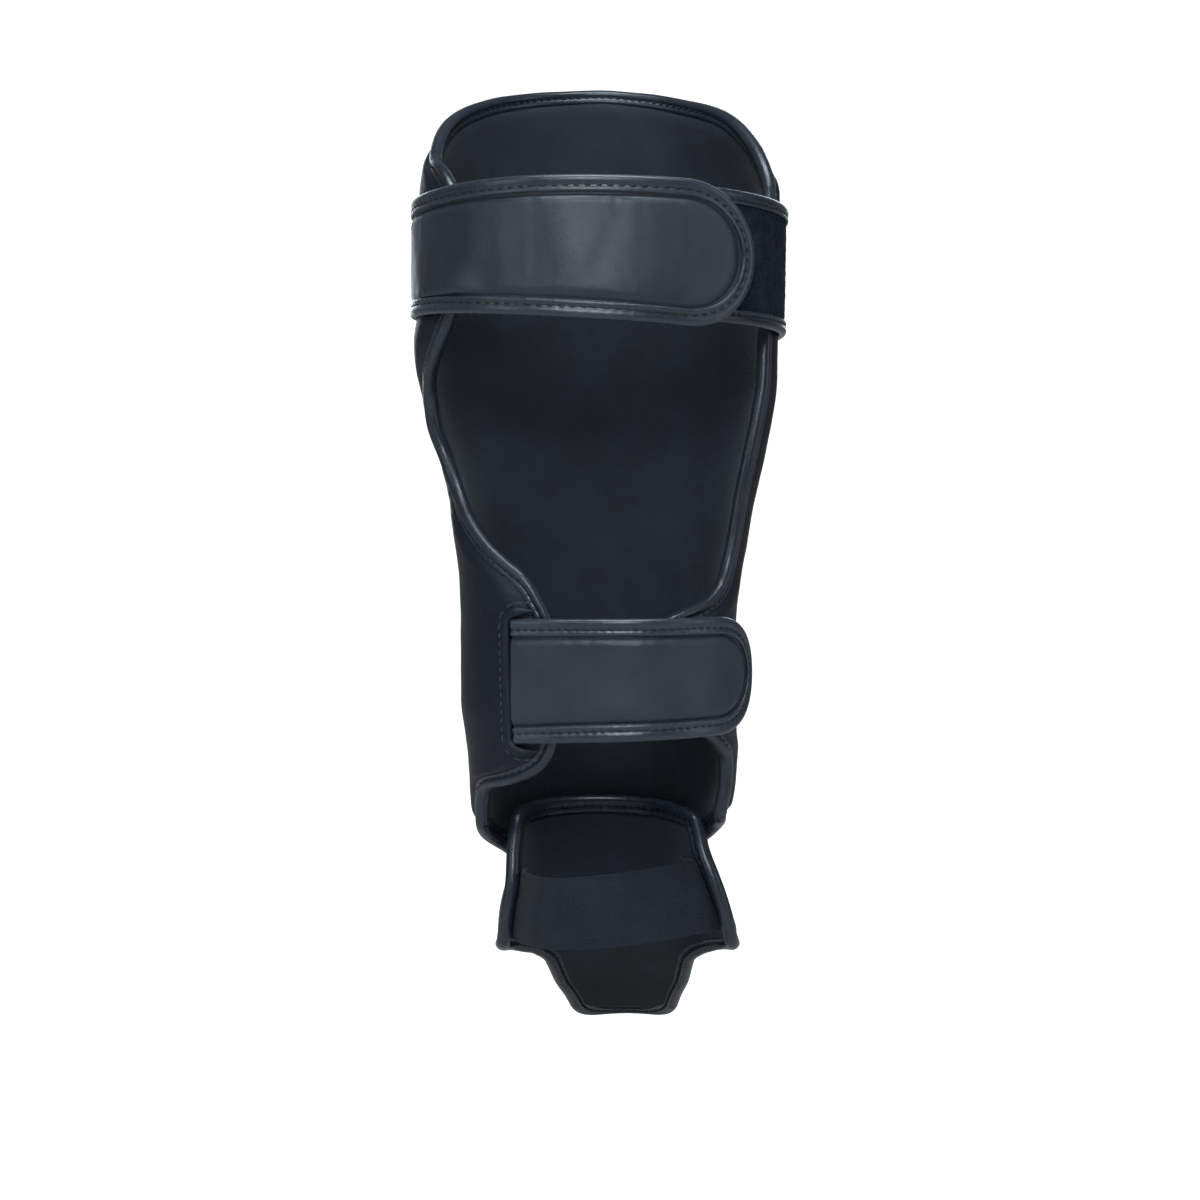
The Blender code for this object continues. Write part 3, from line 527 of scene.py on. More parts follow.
WRAP_LEAD = 12  # degrees before a strap's root from which its length is measured
FLOOR_HEIGHT = -0.250

# Columns and rows of the grids that the soft pieces are made on
SHELL_GRID = (110, 280)
SHELL_CLOTH_GRID = (92, 204)
INSTEP_GRID = (84, 150)
INSTEP_CLOTH_GRID = (80, 140)
TAB_GRID = (150, 72)
LOWER_PILE_GRID = (60, 60)
HOOK_GRID = (70, 56)
BAND_GRID = (230, 121)
SHELL_RIM = (0.008, 0.003)  # first step in from the shell's sides, across and along
INSTEP_RIM = 0.02
PANEL_ROWS = 84
PANEL_STEP = 0.00078  # between the columns of a strap panel's grid

# Unevenness of the soft faces, as smooth noise. The size of its lumps may differ by axis.
Lumps = namedtuple("Lumps", "size height seed")
SHELL_WAVES = Lumps(0.034, 0.0005, 1)
SHELL_DENTS = Lumps(0.010, 0.0002, 2)
SHELL_PUCKERS = Lumps(0.0045, 0.0003, 3)
CLOTH_WAVES = Lumps(0.022, 0.0003, 5)
STRAP_FOLDS = Lumps((0.016, 0.055, 1.0), 0.0005, 11)
STRAP_DENTS = Lumps((0.007, 0.016, 1.0), 0.00018, 12)
STRAP_PUCKERS = Lumps((0.0045, 0.010, 1.0), 0.00025, 13)
PILE_NAP = Lumps(0.0021, 0.0002, 21)
PILE_TUFTS = Lumps(0.0060, 0.00012, 22)
INSTEP_WAVES = Lumps(0.020, 0.0003, 31)

SURROUND_LIGHT = 0.10  # light that the white room gives the object
LAMP_COLOR = (0.81, 0.92, 1.0)
LampRow = namedtuple("LampRow", "name x y z aim width height power")
LAMPS = table_of(LampRow, [
    ("key", -0.12, -1.35, 0.72, 0.12, 0.45, 0.45, 9.0),
    ("left", -1.10, -0.90, 0.45, 0.05, 0.3, 1.0, 2.2),
    ("right", 1.20, -0.55, 0.35, 0.05, 0.3, 1.0, 1.7),
    ("top", 0.02, -0.42, 1.30, 0.10, 0.8, 0.35, 12.0),
    ("front left", -0.55, 1.50, 0.55, 0.05, 0.5, 0.9, 5.0),
    ("front right", 0.45, 1.50, 0.80, 0.05, 0.5, 0.9, 6.0),
])

Frames = namedtuple("Frames", "points along out up")
TapeRow = namedtuple("TapeRow", "out height pinch")
CreaseRow = namedtuple("CreaseRow", "place rise reach width depth")

# Soft creases of the straps: place as a share of the strap's length, rise and reach up and
# down as shares of its half width, width and depth in metres, below zero for a dent.
UPPER_CREASES = table_of(CreaseRow, [
    (0.365, -0.62, 0.22, 0.010, 0.0011),
    (0.425, -0.55, 0.30, 0.010, -0.0011),
    (0.470, 0.10, 0.70, 0.009, 0.0006),
    (0.545, -0.05, 0.65, 0.004, -0.0006),
    (0.600, 0.20, 0.90, 0.013, 0.0007),
    (0.700, 0.10, 0.80, 0.012, -0.0004),
])
LOWER_CREASES = table_of(CreaseRow, [
    (0.330, -0.45, 0.25, 0.020, 0.0004),
    (0.600, 0.30, 0.50, 0.016, 0.0003),
])

# Half of an edging's section: out from the pad's edge, height above the middle of its
# thickness as a share of the bead's, and how much each stitch pulls it in.
EDGING = table_of(TapeRow, [
    (-1.00, 0.80, 0.0),
    (-0.90, 0.90, 0.0),
    (-0.50, 0.93, 0.1),
    (-0.05, 0.90, 0.4),
    (0.06, 0.83, 0.8),
    (0.13, 0.77, 1.0),
    (0.20, 0.84, 0.6),
    (0.32, 0.95, 0.2),
    (0.46, 1.00, 0.0),
    (0.62, 0.97, 0.0),
    (0.76, 0.84, 0.0),
    (0.88, 0.62, 0.0),
    (0.97, 0.32, 0.0),
    (1.00, 0.00, 0.0),
])
SEAM = 0.13  # where the stitches run, as a share of the edging's reach
STRAP_EDGING = table_of(TapeRow, [
    (-1.00, 0.80, 0.0),
    (-0.96, 0.95, 0.0),
    (-0.82, 1.00, 0.2),
    (-0.64, 0.92, 0.7),
    (-0.46, 0.70, 1.0),
    (-0.30, 0.88, 0.6),
    (-0.10, 1.00, 0.2),
    (0.15, 1.06, 0.0),
    (0.45, 1.00, 0.0),
    (0.70, 0.82, 0.0),
    (0.88, 0.56, 0.0),
    (0.97, 0.30, 0.0),
    (1.00, 0.00, 0.0),
])
STRAP_SEAM = 0.46  # where the stitches run, as a share of the fold's width


def soft_noise(points, lumps):
    """Smooth noise at these points, as high above and below zero as the lumps are."""
    seed_step = 7.31
    scaled = points.reshape(-1, 3) / np.asarray(lumps.size) + seed_step * lumps.seed
    values = np.array([noise.noise(Vector(point)) for point in scaled])
    return lumps.height * values.reshape(points.shape[:-1])


def mesh_object(name, points, faces, material, uvs=None):
    """An object of these points and quads with its faces turned out, and a map in metres."""
    data = bpy.data.meshes.new(name)
    data.from_pydata(points.tolist(), [], faces.tolist())
    mesh = bmesh.new()
    mesh.from_mesh(data)
    bmesh.ops.recalc_face_normals(mesh, faces=mesh.faces)
    mesh.to_mesh(data)
    mesh.free()
    if uvs is not None:
        layer = data.uv_layers.new(name="metres")
        corners = np.empty(len(data.loops), int)
        data.loops.foreach_get("vertex_index", corners)
        layer.data.foreach_set("uv", uvs[corners].ravel())
    data.shade_smooth()
    data.materials.append(material)
    obj = bpy.data.objects.new(name, data)
    bpy.context.scene.collection.objects.link(obj)
    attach(obj, "root")
    return obj


def grid_faces(rows, columns, start=0, closed_rows=False, closed_columns=False):
    index = np.arange(rows * columns).reshape(rows, columns) + start
    if closed_rows:
        index = np.vstack([index, index[:1]])
    if closed_columns:
        index = np.hstack([index, index[:, :1]])
    corners = (index[:-1, :-1], index[:-1, 1:], index[1:, 1:], index[1:, :-1])
    return np.stack(corners, -1).reshape(-1, 4)


def loft(name, inner, outer, material):
    """A closed piece between two grids of points."""
    rows, columns = inner.shape[:2]
    count = rows * columns
    rim = ring(np.arange(count).reshape(rows, columns, 1))[:, 0]
    after = np.roll(rim, -1)
    sides = np.stack([rim, after, after + count, rim + count], -1)
    faces = np.vstack([grid_faces(rows, columns), grid_faces(rows, columns, count), sides])
    uvs = np.stack([lengths_along(inner, 1), lengths_along(inner)], -1).reshape(-1, 2)
    points = np.vstack([inner.reshape(-1, 3), outer.reshape(-1, 3)])
    return mesh_object(name, points, faces, material, np.vstack([uvs, uvs]))


def evenly(points, ups, step, closed):
    """The line and its face directions at even steps, without its corners."""
    if closed:
        points, ups = np.vstack([points, points[:1]]), np.vstack([ups, ups[:1]])
    along = lengths_along(points)
    count = max(4, round(along[-1] / step))
    at = np.linspace(0, along[-1], count + 1)
    if closed:
        at = at[:-1]
    columns = [np.interp(at, along, column) for column in np.hstack([points, ups]).T]
    both = np.stack(columns, -1)
    return smoothed(both[:, :3], 1, closed), unit(smoothed(both[:, 3:], 8, closed))


def smoothed(values, rounds, closed):
    for _ in range(rounds):
        before, after = np.roll(values, 1, axis=0), np.roll(values, -1, axis=0)
        if not closed:
            before[0], after[-1] = values[0], values[-1]
        moved = (before + 2 * values + after) / 4
        if not closed:
            moved[0], moved[-1] = values[0], values[-1]
        values = moved
    return values


def frames_of(points, ups, closed, step=0.0010):
    """Frames along a line: its direction, the way out from its middle, and up off its face."""
    centre = points.mean(axis=0)
    points, ups = evenly(points, ups, step, closed)
    if closed:
        along = unit(np.roll(points, -1, axis=0) - np.roll(points, 1, axis=0))
    else:
        along = unit(np.gradient(points, axis=0))
    out = unit(np.cross(along, ups))
    out = out * np.sign(np.sum(out * (points - centre)))
    up = unit(ups - along * np.sum(ups * along, axis=-1, keepdims=True))
    return Frames(points, along, out, up)


def sweep(name, frames, section, material, closed, pinches=None, depth=0.0, sizes=1.0):
    """A section of (out, up) points swept along the frames, at a size for each frame. Where
    pinches are given, each stitch pulls those points in by the depth."""
    outs, ups = section[:, 0], section[:, 1]
    count = len(frames.points)
    lift = np.broadcast_to(ups, (count, len(ups))).copy()
    if pinches is not None:
        step = np.linalg.norm(frames.points[1] - frames.points[0])
        pull = 0.5 + 0.5 * np.cos(np.arange(count) * step / STITCH_PITCH * 2 * math.pi)
        lift -= np.sign(ups) * pinches * pull[:, None] * depth
    sizes = np.broadcast_to(sizes, count)[:, None, None]
    rings = (
        frames.points[:, None]
        + frames.out[:, None] * outs[None, :, None] * sizes
        + frames.up[:, None] * lift[..., None] * sizes
    )
    points = rings.reshape(-1, 3)
    faces = grid_faces(count, len(section), closed_rows=closed, closed_columns=True)
    if not closed:
        points, faces = capped(points, faces, count, len(section))
    return mesh_object(name, points, faces, material)


def capped(points, faces, count, size):
    """Closes a swept piece's two ends with a fan of quads from each end's middle."""
    ends = (np.arange(size), np.arange(size) + (count - 1) * size)
    extra, caps = [], []
    for number, end in enumerate(ends):
        extra.append(points[end].mean(axis=0))
        middle = np.full(size // 2, len(points) + number)
        first, second, third = end[0::2], end[1::2], np.roll(end, -2)[0::2]
        caps.append(np.stack([first, second, third, middle], -1))
    return np.vstack([points, extra]), np.vstack([faces, *caps])


def edging_section(rows, leg, reach, height, hold):
    """The closed section of a folded edging round a pad's edge that is twice the hold thick."""
    outs = [row.out * (reach if row.out > 0 else leg) for row in rows]
    heights = [row.height * height for row in rows]
    heights = [max(h, hold + TAPE_LAP) if out <= 0 else h for out, h in zip(outs, heights)]
    pinches = [row.pinch for row in rows]
    top = np.array(list(zip(outs, heights, pinches)))
    bottom = top[-2::-1] * [1, -1, 1]
    inside = [(-leg, -hold), (TAPE_LAP, -hold), (TAPE_LAP, 0), (TAPE_LAP, hold), (-leg, hold)]
    whole = np.vstack([top, bottom, [(*point, 0) for point in inside]])
    return whole[:, :2], whole[:, 2]


def stitches(name, frames, out, height, material):
    """A row of thread stitches, each a short bar whose ends dive into the leather."""
    step = np.linalg.norm(frames.points[1] - frames.points[0])
    length = step * (len(frames.points) - 1)
    starts = np.arange(STITCH_PITCH / 2, length - STITCH_LENGTH, STITCH_PITCH)
    bar_rows, sides = 7, 6
    share = np.linspace(-1, 1, bar_rows)
    turn = np.linspace(0, 2 * math.pi, sides + 1)[:-1]
    bars = []
    places = np.arange(len(frames.points)) * step
    for start in starts:
        at = start + (share + 1) / 2 * STITCH_LENGTH
        centre, side, up = (
            np.stack([np.interp(at, places, axis) for axis in values.T], -1)
            for values in (frames.points, frames.out, frames.up)
        )
        sink = height - STITCH_DIVE * share**4
        centre = centre + side * out + up * sink[:, None]
        radius = STITCH_RADIUS * np.sqrt(np.clip(1.04 - share**2, 0.04, 1))
        rings = (
            centre[:, None]
            + side[:, None] * (radius[:, None] * np.cos(turn))[..., None]
            + up[:, None] * (radius[:, None] * np.sin(turn))[..., None]
        )
        bars.append(rings)
    cap = np.array([[0, 1, 2, 3], [0, 3, 4, 5]])
    tube = grid_faces(bar_rows, sides, closed_columns=True)
    bar = np.vstack([tube, cap, cap + (bar_rows - 1) * sides])
    faces = (bar[None] + np.arange(len(bars))[:, None, None] * bar_rows * sides).reshape(-1, 4)
    return mesh_object(name, np.array(bars).reshape(-1, 3), faces, material)


def strap_gap(strap, s, h, crossed):
    """Distance from a point of a strap's panel to the panel's bound edge, measured flat. The
    root is bound as well where the border crosses it."""
    straight = strap.length - strap.half_widths[1]
    side = strap.half_width(np.minimum(s, straight))
    beyond = np.clip(s - straight, 0, None) * side / strap.half_widths[1]
    gap = side - STRAP_INSET - np.hypot(beyond, h)
    return np.minimum(gap, s) if crossed else gap


def cushioned(full, distance, taper):
    """A pad's thickness: held flat under its edging, then swelling in a round shoulder."""
    width = taper * full / np.max(full)
    share = np.clip((distance - TAPE_LEG - FOLD_LINE) / width, 0, 1)
    return EDGE_THICKNESS + (full - EDGE_THICKNESS) * np.sin(share * math.pi / 2) ** 0.85


def declare_sheet(grid):
    """Works out the flat size of a sheet from the grid of points on one of its faces, but neither
    returns nor records it.
    """
    across, along = np.diff(grid, axis=1), np.diff(grid, axis=0)
    width = np.linalg.norm(across, axis=-1).sum(axis=1).max()
    length = np.linalg.norm(along, axis=-1).sum(axis=0).max()
    area = np.linalg.norm(np.cross(across[:-1], along[:, :-1]), axis=-1).sum()
    area = min(area, width * length)


def edging(name, frames, rows, leg, reach, height, hold, material, closed):
    section, pinches = edging_section(rows, leg, reach, height, hold)
    return sweep(name, frames, section, material, closed, pinches, height * PINCH_DEPTH)


def inset_grid(points, normals, margin, columns, rows):
    """The part of a fine grid that lies inside this margin from its sides, evenly spread."""
    values = np.concatenate([points, normals], -1)
    for count in (columns, rows):
        lines = []
        for line, lengths in zip(values, lengths_along(values[..., :3], 1)):
            at = np.linspace(margin, lengths[-1] - margin, count)
            lines.append(np.stack([np.interp(at, lengths, axis) for axis in line.T], -1))
        values = np.array(lines).transpose(1, 0, 2)
    return values[..., :3], unit(values[..., 3:])


def shell_surface(columns, rows):
    """Fine grid over the inside of the shell and the way out of it."""
    us = rim_spacing(columns, SHELL_RIM[0])
    vs = rim_spacing(rows, SHELL_RIM[1], 0.0, 1.0)
    angle, z = shell_place(*np.meshgrid(us, vs))
    return hollow_point(angle, z), outward(angle, z), angle


def shin_shell(looks):
    """The padded shell: leather over foam, soft and a little uneven, with puckers at its seam."""
    inside, normal, angle = shell_surface(*SHELL_GRID)
    distance = edge_distance(inside)
    thickness = cushioned(wall(angle), distance, SHELL_TAPER)
    body = ease(distance / SHELL_WAVES_FROM)
    near = np.exp(-(((distance - SHELL_PUCKER_PLACE) / SHELL_PUCKER_WIDTH) ** 2))
    relief = body * soft_noise(inside, SHELL_WAVES) + soft_noise(inside, SHELL_DENTS)
    relief += near * soft_noise(inside, SHELL_PUCKERS)
    relief *= ease(distance / RELIEF_FROM)
    outside = inside + normal * (thickness + relief)[..., None]
    shell = loft("shin_shell", inside, outside, looks["leather"])
    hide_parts("shin_pad")
    bind_pad("shin", inside, outside, 2 * BINDING_RADIUS + CLEARANCE, BEAD_HEIGHT, looks)
    line_pad("shin", inside, normal, SHELL_CLOTH_GRID, CLOTH_WAVES, looks)


def bind_pad(name, inside, outside, reach, bead, looks):
    """The edging folded round a pad's edge, with a row of stitches on either face."""
    middles = ring((inside + outside) / 2)
    frames = frames_of(middles, ring(unit(outside - inside)), closed=True)
    tape = edging(f"{name}_edging", frames, EDGING, TAPE_LEG, reach, bead,
                  EDGE_THICKNESS / 2, looks["edging"], closed=True)
    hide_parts(f"{name}_binding")
    for side, face in ((1, "outer"), (-1, "inner")):
        stitches(f"{name}_stitching_{face}", frames, SEAM * reach, side * bead * STITCH_SEAT,
                 looks["thread"])


def line_pad(name, inside, normal, grid, waves, looks):
    """The cloth inside a pad, up to its edging."""
    inner, normal = inset_grid(inside, normal, CLOTH_MARGIN, *grid)
    distance = edge_distance(inner)
    depth = CLOTH_EDGE + CLOTH_SWELL * ease(distance / CLOTH_SHOULDER)
    if waves:
        depth = depth + ease(distance / WAVES_FROM) * soft_noise(inner, waves)
    far = inner - normal * depth[..., None]
    cloth = loft(f"{name}_cloth", far, inner - normal * CLOTH_LIFT, looks["lining"])
    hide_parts(f"{name}_lining")
    declare_sheet(far)


def strap_outline(strap, crossed):
    """The line of a strap's panel edge: along the top, round the tip and back along the
    bottom and, where it is sewn down flat, across its root."""
    straight = strap.length - strap.half_widths[1]
    run = np.linspace(0, straight, 160)
    turn = np.linspace(math.pi / 2, -math.pi / 2, 90)[1:-1]
    edge = strap.half_width(run) - STRAP_INSET
    radius = strap.half_widths[1] - STRAP_INSET
    s = np.concatenate([run, straight + radius * np.cos(turn), run[::-1]])
    h = np.concatenate([edge, edge[-1] * np.sin(turn), -edge[::-1]])
    if crossed:
        across = np.linspace(-edge[0], edge[0], 40)[1:-1]
        s, h = np.concatenate([s, 0 * across]), np.concatenate([h, across])
    return s, h


def strap_pieces(name, strap, looks, creases, crossed):
    """A strap: a soft leather panel in a folded edging that is sewn right round it."""
    s, h = strap.panel(STRAP_INSET, round(strap.length / PANEL_STEP), PANEL_ROWS)
    distance = strap_gap(strap, s, h, crossed)
    leg = STRAP_BORDER - STRAP_INSET
    fold = distance - leg - FOLD_LINE
    place = np.stack([s, h, 0 * s], -1)
    swell = PANEL_CROWN + soft_noise(place, STRAP_FOLDS) + soft_noise(place, STRAP_DENTS)
    for row in creases:
        across = (s / strap.length - row.place) * strap.length / row.width
        along = (h / strap.half_width(s) - row.rise) / row.reach
        swell = swell + row.depth * np.exp(-(across**2) - along**2)
    groove = GROOVE_DEPTH * np.exp(-((fold / GROOVE_WIDTH) ** 2))
    near = np.exp(-(((distance - PUCKER_PLACE) / PUCKER_WIDTH) ** 2))
    lift = PANEL_THICKNESS + ease(fold / PANEL_SHOULDER) * swell - groove
    lift = lift + near * soft_noise(place, STRAP_PUCKERS)
    panel = loft(f"{name}_panel", strap.point(s, h, 0.0001), strap.point(s, h, lift), looks["strap"])
    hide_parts(name)
    s, h = strap_outline(strap, crossed)
    middles = strap.point(s, h, PANEL_THICKNESS / 2)
    frames = frames_of(middles, strap.up(s, h), closed=crossed)
    tape = edging(f"{name}_edging", frames, STRAP_EDGING, leg, STRAP_INSET, STRAP_BEAD_HEIGHT,
                  PANEL_THICKNESS / 2, looks["strap_edging_painted_highlight"], closed=crossed)
    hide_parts(f"{name}_binding")
    for side, label in ((1, "outer"), (-1, "under")):
        stitches(f"{name}_stitching_{label}", frames, -STRAP_SEAM * leg,
                 side * STRAP_BEAD_HEIGHT * STITCH_SEAT, looks["thread"])


def hook_piece(name, strap, looks):
    """The hook tape under a strap's tip, a flat tape covered in rows of small hooks."""
    share, h = strap.panel(STRAP_BORDER + PATCH_MARGIN, *HOOK_GRID)
    end = share.max(axis=1, keepdims=True)
    start = strap.length * PATCH_START
    s = start + share / end * (end - start)
    hooks = np.sin(s / HOOK_PITCH * 2 * math.pi) * np.sin(h / HOOK_PITCH * 2 * math.pi)
    depth = PATCH_THICKNESS + HOOK_HEIGHT * hooks
    under = strap.point(s, h, -(WIDE_CLEARANCE + depth))
    over = strap.point(s, h, -WIDE_CLEARANCE)
    tape = loft(f"{name}_tape", under, over, looks["hooks"])
    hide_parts(name)


def pile_piece(name, node, span, low, high, thickness, looks, grid):
    """Loop pile on a band that lies on the shell: a dense, uneven nap."""
    angle, z = np.meshgrid(np.linspace(*span, grid[0]), np.linspace(low, high, grid[1]))
    under = skin_point(angle, z, CLEARANCE + 0 * z)
    nap = soft_noise(under, PILE_NAP) + soft_noise(under, PILE_TUFTS)
    edge = ease(edge_distance(under) / PILE_EDGE)
    over = skin_point(angle, z, CLEARANCE + thickness + edge * nap)
    piece = loft(name, under, over, looks["pile"])
    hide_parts(node)
    declare_sheet(under)


def upper_closure(looks):
    """The loop-faced tab with its edging and the wide strap that closes over it."""
    low = UPPER_TAB_HEIGHT - UPPER_TAB_HALF_WIDTH + STRAP_INSET
    high = UPPER_TAB_HEIGHT + UPPER_TAB_HALF_WIDTH - STRAP_INSET
    pile_piece("upper_tab_pile", "upper_loop_tab", UPPER_TAB_SPAN, low, high, TAB_THICKNESS,
               looks, TAB_GRID)
    start, end = UPPER_TAB_SPAN
    turn = np.linspace(0, math.pi / 2, 12)
    run = np.linspace(start, end - TAB_CORNER, 120)
    angles = np.concatenate([run, end - TAB_CORNER * (1 - np.sin(turn))])
    heights = np.concatenate([0 * run + high, high - TAB_CORNER_DROP * (1 - np.cos(turn))])
    angles = np.concatenate([angles, angles[::-1]])
    heights = np.concatenate([heights, low + high - heights[::-1]])
    middles = skin_point(angles, heights, CLEARANCE + TAB_THICKNESS / 2 + 0 * angles)
    frames = frames_of(middles, outward(angles, heights), closed=False)
    leg = TAB_BORDER - STRAP_INSET
    tape = edging("upper_tab_edging", frames, STRAP_EDGING, leg, STRAP_INSET, TAB_BEAD_HEIGHT,
                  TAB_THICKNESS / 2, looks["edging"], closed=False)
    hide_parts("upper_tab_binding_top", "upper_tab_binding_bottom")
    stitches("upper_tab_stitching", frames, -STRAP_SEAM * leg, TAB_BEAD_HEIGHT * STITCH_SEAT,
             looks["thread"])
    over_tab = TAB_THICKNESS + PATCH_THICKNESS + 2 * (WIDE_CLEARANCE + CLEARANCE)
    strap = Wrap(UPPER_STRAP_ROOT, UPPER_STRAP_TIP, UPPER_STRAP_HEIGHTS, UPPER_STRAP_HALF_WIDTHS,
                 (CLEARANCE * 2, over_tab))
    strap_pieces("upper_strap", strap, looks, UPPER_CREASES, crossed=True)
    hook_piece("upper_hook_patch", strap, looks)


def lower_closure(looks):
    """The narrow strap, its loop patch and the raised welt round its root."""
    over_loop = PATCH_THICKNESS * 2 + 2 * (WIDE_CLEARANCE + CLEARANCE)
    strap = Wrap(LOWER_STRAP_ROOT, LOWER_STRAP_TIP, LOWER_STRAP_HEIGHTS, LOWER_STRAP_HALF_WIDTHS,
                 (CLEARANCE * 2, over_loop))
    strap_pieces("lower_strap", strap, looks, LOWER_CREASES, crossed=False)
    hook_piece("lower_hook_patch", strap, looks)
    half_width = LOWER_STRAP_HALF_WIDTHS[1] - STRAP_BORDER
    middle = LOWER_STRAP_HEIGHTS[1]
    pile_piece("lower_pile", "lower_loop_patch", LOWER_LOOP_SPAN, middle - half_width,
               middle + half_width, PATCH_THICKNESS, looks, LOWER_PILE_GRID)
    s, h = welt_line(strap)
    points = strap.point(s, h, WELT_RADIUS - CLEARANCE)
    frames = frames_of(points, strap.up(s, h), closed=False, step=WELT_STEP)
    turn = np.linspace(0, 2 * math.pi, 19)[:-1]
    section = np.stack([1.15 * WELT_RADIUS * np.cos(turn), 0.9 * WELT_RADIUS * np.sin(turn)], -1)
    run = lengths_along(frames.points)
    fade = ease(np.minimum(run, run[-1] - run) / WELT_FADE)
    sizes = WELT_END + (1 - WELT_END) * fade
    middles = frames.points - frames.up * (WELT_RADIUS * (1.1 - sizes))[:, None]
    welt = sweep("root_welt", frames._replace(points=middles), section, looks["leather"],
                 closed=False, sizes=sizes)
    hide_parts("strap_welt")
    # These stitches take the lighter thread, whose colour is a painted highlight.
    stitches("root_welt_stitching", frames, WELT_SEAM, WELT_STITCH_LIFT - WELT_RADIUS,
             looks["welt_thread_painted_highlight"])


def welt_line(strap):
    reach = strap.half_widths[0] + WELT_MARGIN
    turn = np.linspace(0, math.pi / 2, 14)
    top_s = np.concatenate([[WELT_ARM], -WELT_MARGIN + WELT_CORNER * (1 - np.sin(turn))])
    top_h = np.concatenate([[reach], reach - WELT_CORNER * (1 - np.cos(turn))])
    return np.concatenate([top_s, top_s[::-1]]), np.concatenate([top_h, -top_h[::-1]])


def instep_surface(columns, rows):
    """Fine grid over the inside of the instep pad and the way out of it."""
    us = np.sin(rim_spacing(columns, INSTEP_RIM) * math.pi / 2)
    shares = even_shares(lambda v: instep_point(0 * v + 1, v) + instep_point(0 * v, v), rows)
    points = instep_point(*np.meshgrid(us, shares))
    return points, unit(smoothed(-grid_normals(points), 14, closed=False))


def instep(looks):
    """The pad over the foot with its ankle ears, its cloth, its edging and the heel band."""
    inside, normal = instep_surface(*INSTEP_GRID)
    distance = edge_distance(inside)
    thickness = cushioned(INSTEP_THICKNESS, distance, INSTEP_TAPER)
    relief = ease(distance / WAVES_FROM) * soft_noise(inside, INSTEP_WAVES)
    outside = inside + normal * (thickness + relief)[..., None]
    shell = loft("instep_shell", inside, outside, looks["leather"])
    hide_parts("instep_pad")
    bind_pad("instep", inside, outside, 2 * INSTEP_BINDING_RADIUS + CLEARANCE,
             INSTEP_BEAD_HEIGHT, looks)
    line_pad("instep", inside, normal, INSTEP_CLOTH_GRID, None, looks)
    heel_band(looks)


def heel_band(looks):
    """The elastic: ribs along the band and a fine crosswise weave."""
    ends = ((BAND_HOLD, BAND_SEWN), (BAND_LEAVES, BAND_GAP))
    shares = np.linspace(-0.5, 0.5, 7)
    lines = []
    for h in BAND_WIDTH * shares:
        low, high = (middle + h for middle in BAND_HEIGHTS)
        left = [ear_point(-share, low, gap) for share, gap in ends]
        right = [ear_point(share, high, gap) for share, gap in ends[::-1]]
        lines.append(band_row(left, right, BAND_GRID[0]))
    coarse = np.array(lines).transpose(1, 2, 0)
    across = np.linspace(-0.5, 0.5, BAND_GRID[1])
    outer = np.array([[np.interp(across, shares, axis) for axis in line] for line in coarse])
    outer = outer.transpose(2, 0, 1)
    inward = grid_normals(outer)
    inward *= np.sign(np.sum(inward * (outer.mean(axis=(0, 1)) - outer)))
    along = lengths_along(outer, 1)
    ribs = np.cos(across[:, None] * BAND_WIDTH / RIB_PITCH * 2 * math.pi)
    weave = np.cos(along / WEAVE_PITCH * 2 * math.pi + np.pi * np.sign(ribs) / 2)
    held = BAND_HELD_POINTS
    free = np.minimum(along - along[:, [held]], along[:, [-held - 1]] - along)
    swell = (ease(free / BAND_PLAIN) * RIB_HEIGHT * (ribs + 0.5 * weave))[..., None]
    inner = outer + inward * (ELASTIC_THICKNESS + swell)
    band = loft("heel_band", inner, outer - inward * swell, looks["elastic"])
    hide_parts("heel_elastic")


def band_row(left, right, count):
    """One line along the band: a straight hold in each ear and a round pull behind the heel."""
    t = np.linspace(0, 1, count)[:, None]
    pull_left = np.array([BAND_SIDES[0], -BAND_REACH, left[1][2]])
    pull_right = np.array([BAND_SIDES[1], -BAND_REACH, right[0][2]])
    round_heel = (
        left[1] * (1 - t) ** 3
        + 3 * pull_left * (1 - t) ** 2 * t
        + 3 * pull_right * (1 - t) * t**2
        + right[0] * t**3
    )
    hold = np.linspace(0, 1, BAND_HELD_POINTS + 1)[:-1, None]
    into_left = left[0] + (left[1] - left[0]) * hold
    out_right = (right[1] + (right[0] - right[1]) * hold)[::-1]
    return np.vstack([into_left, round_heel, out_right])


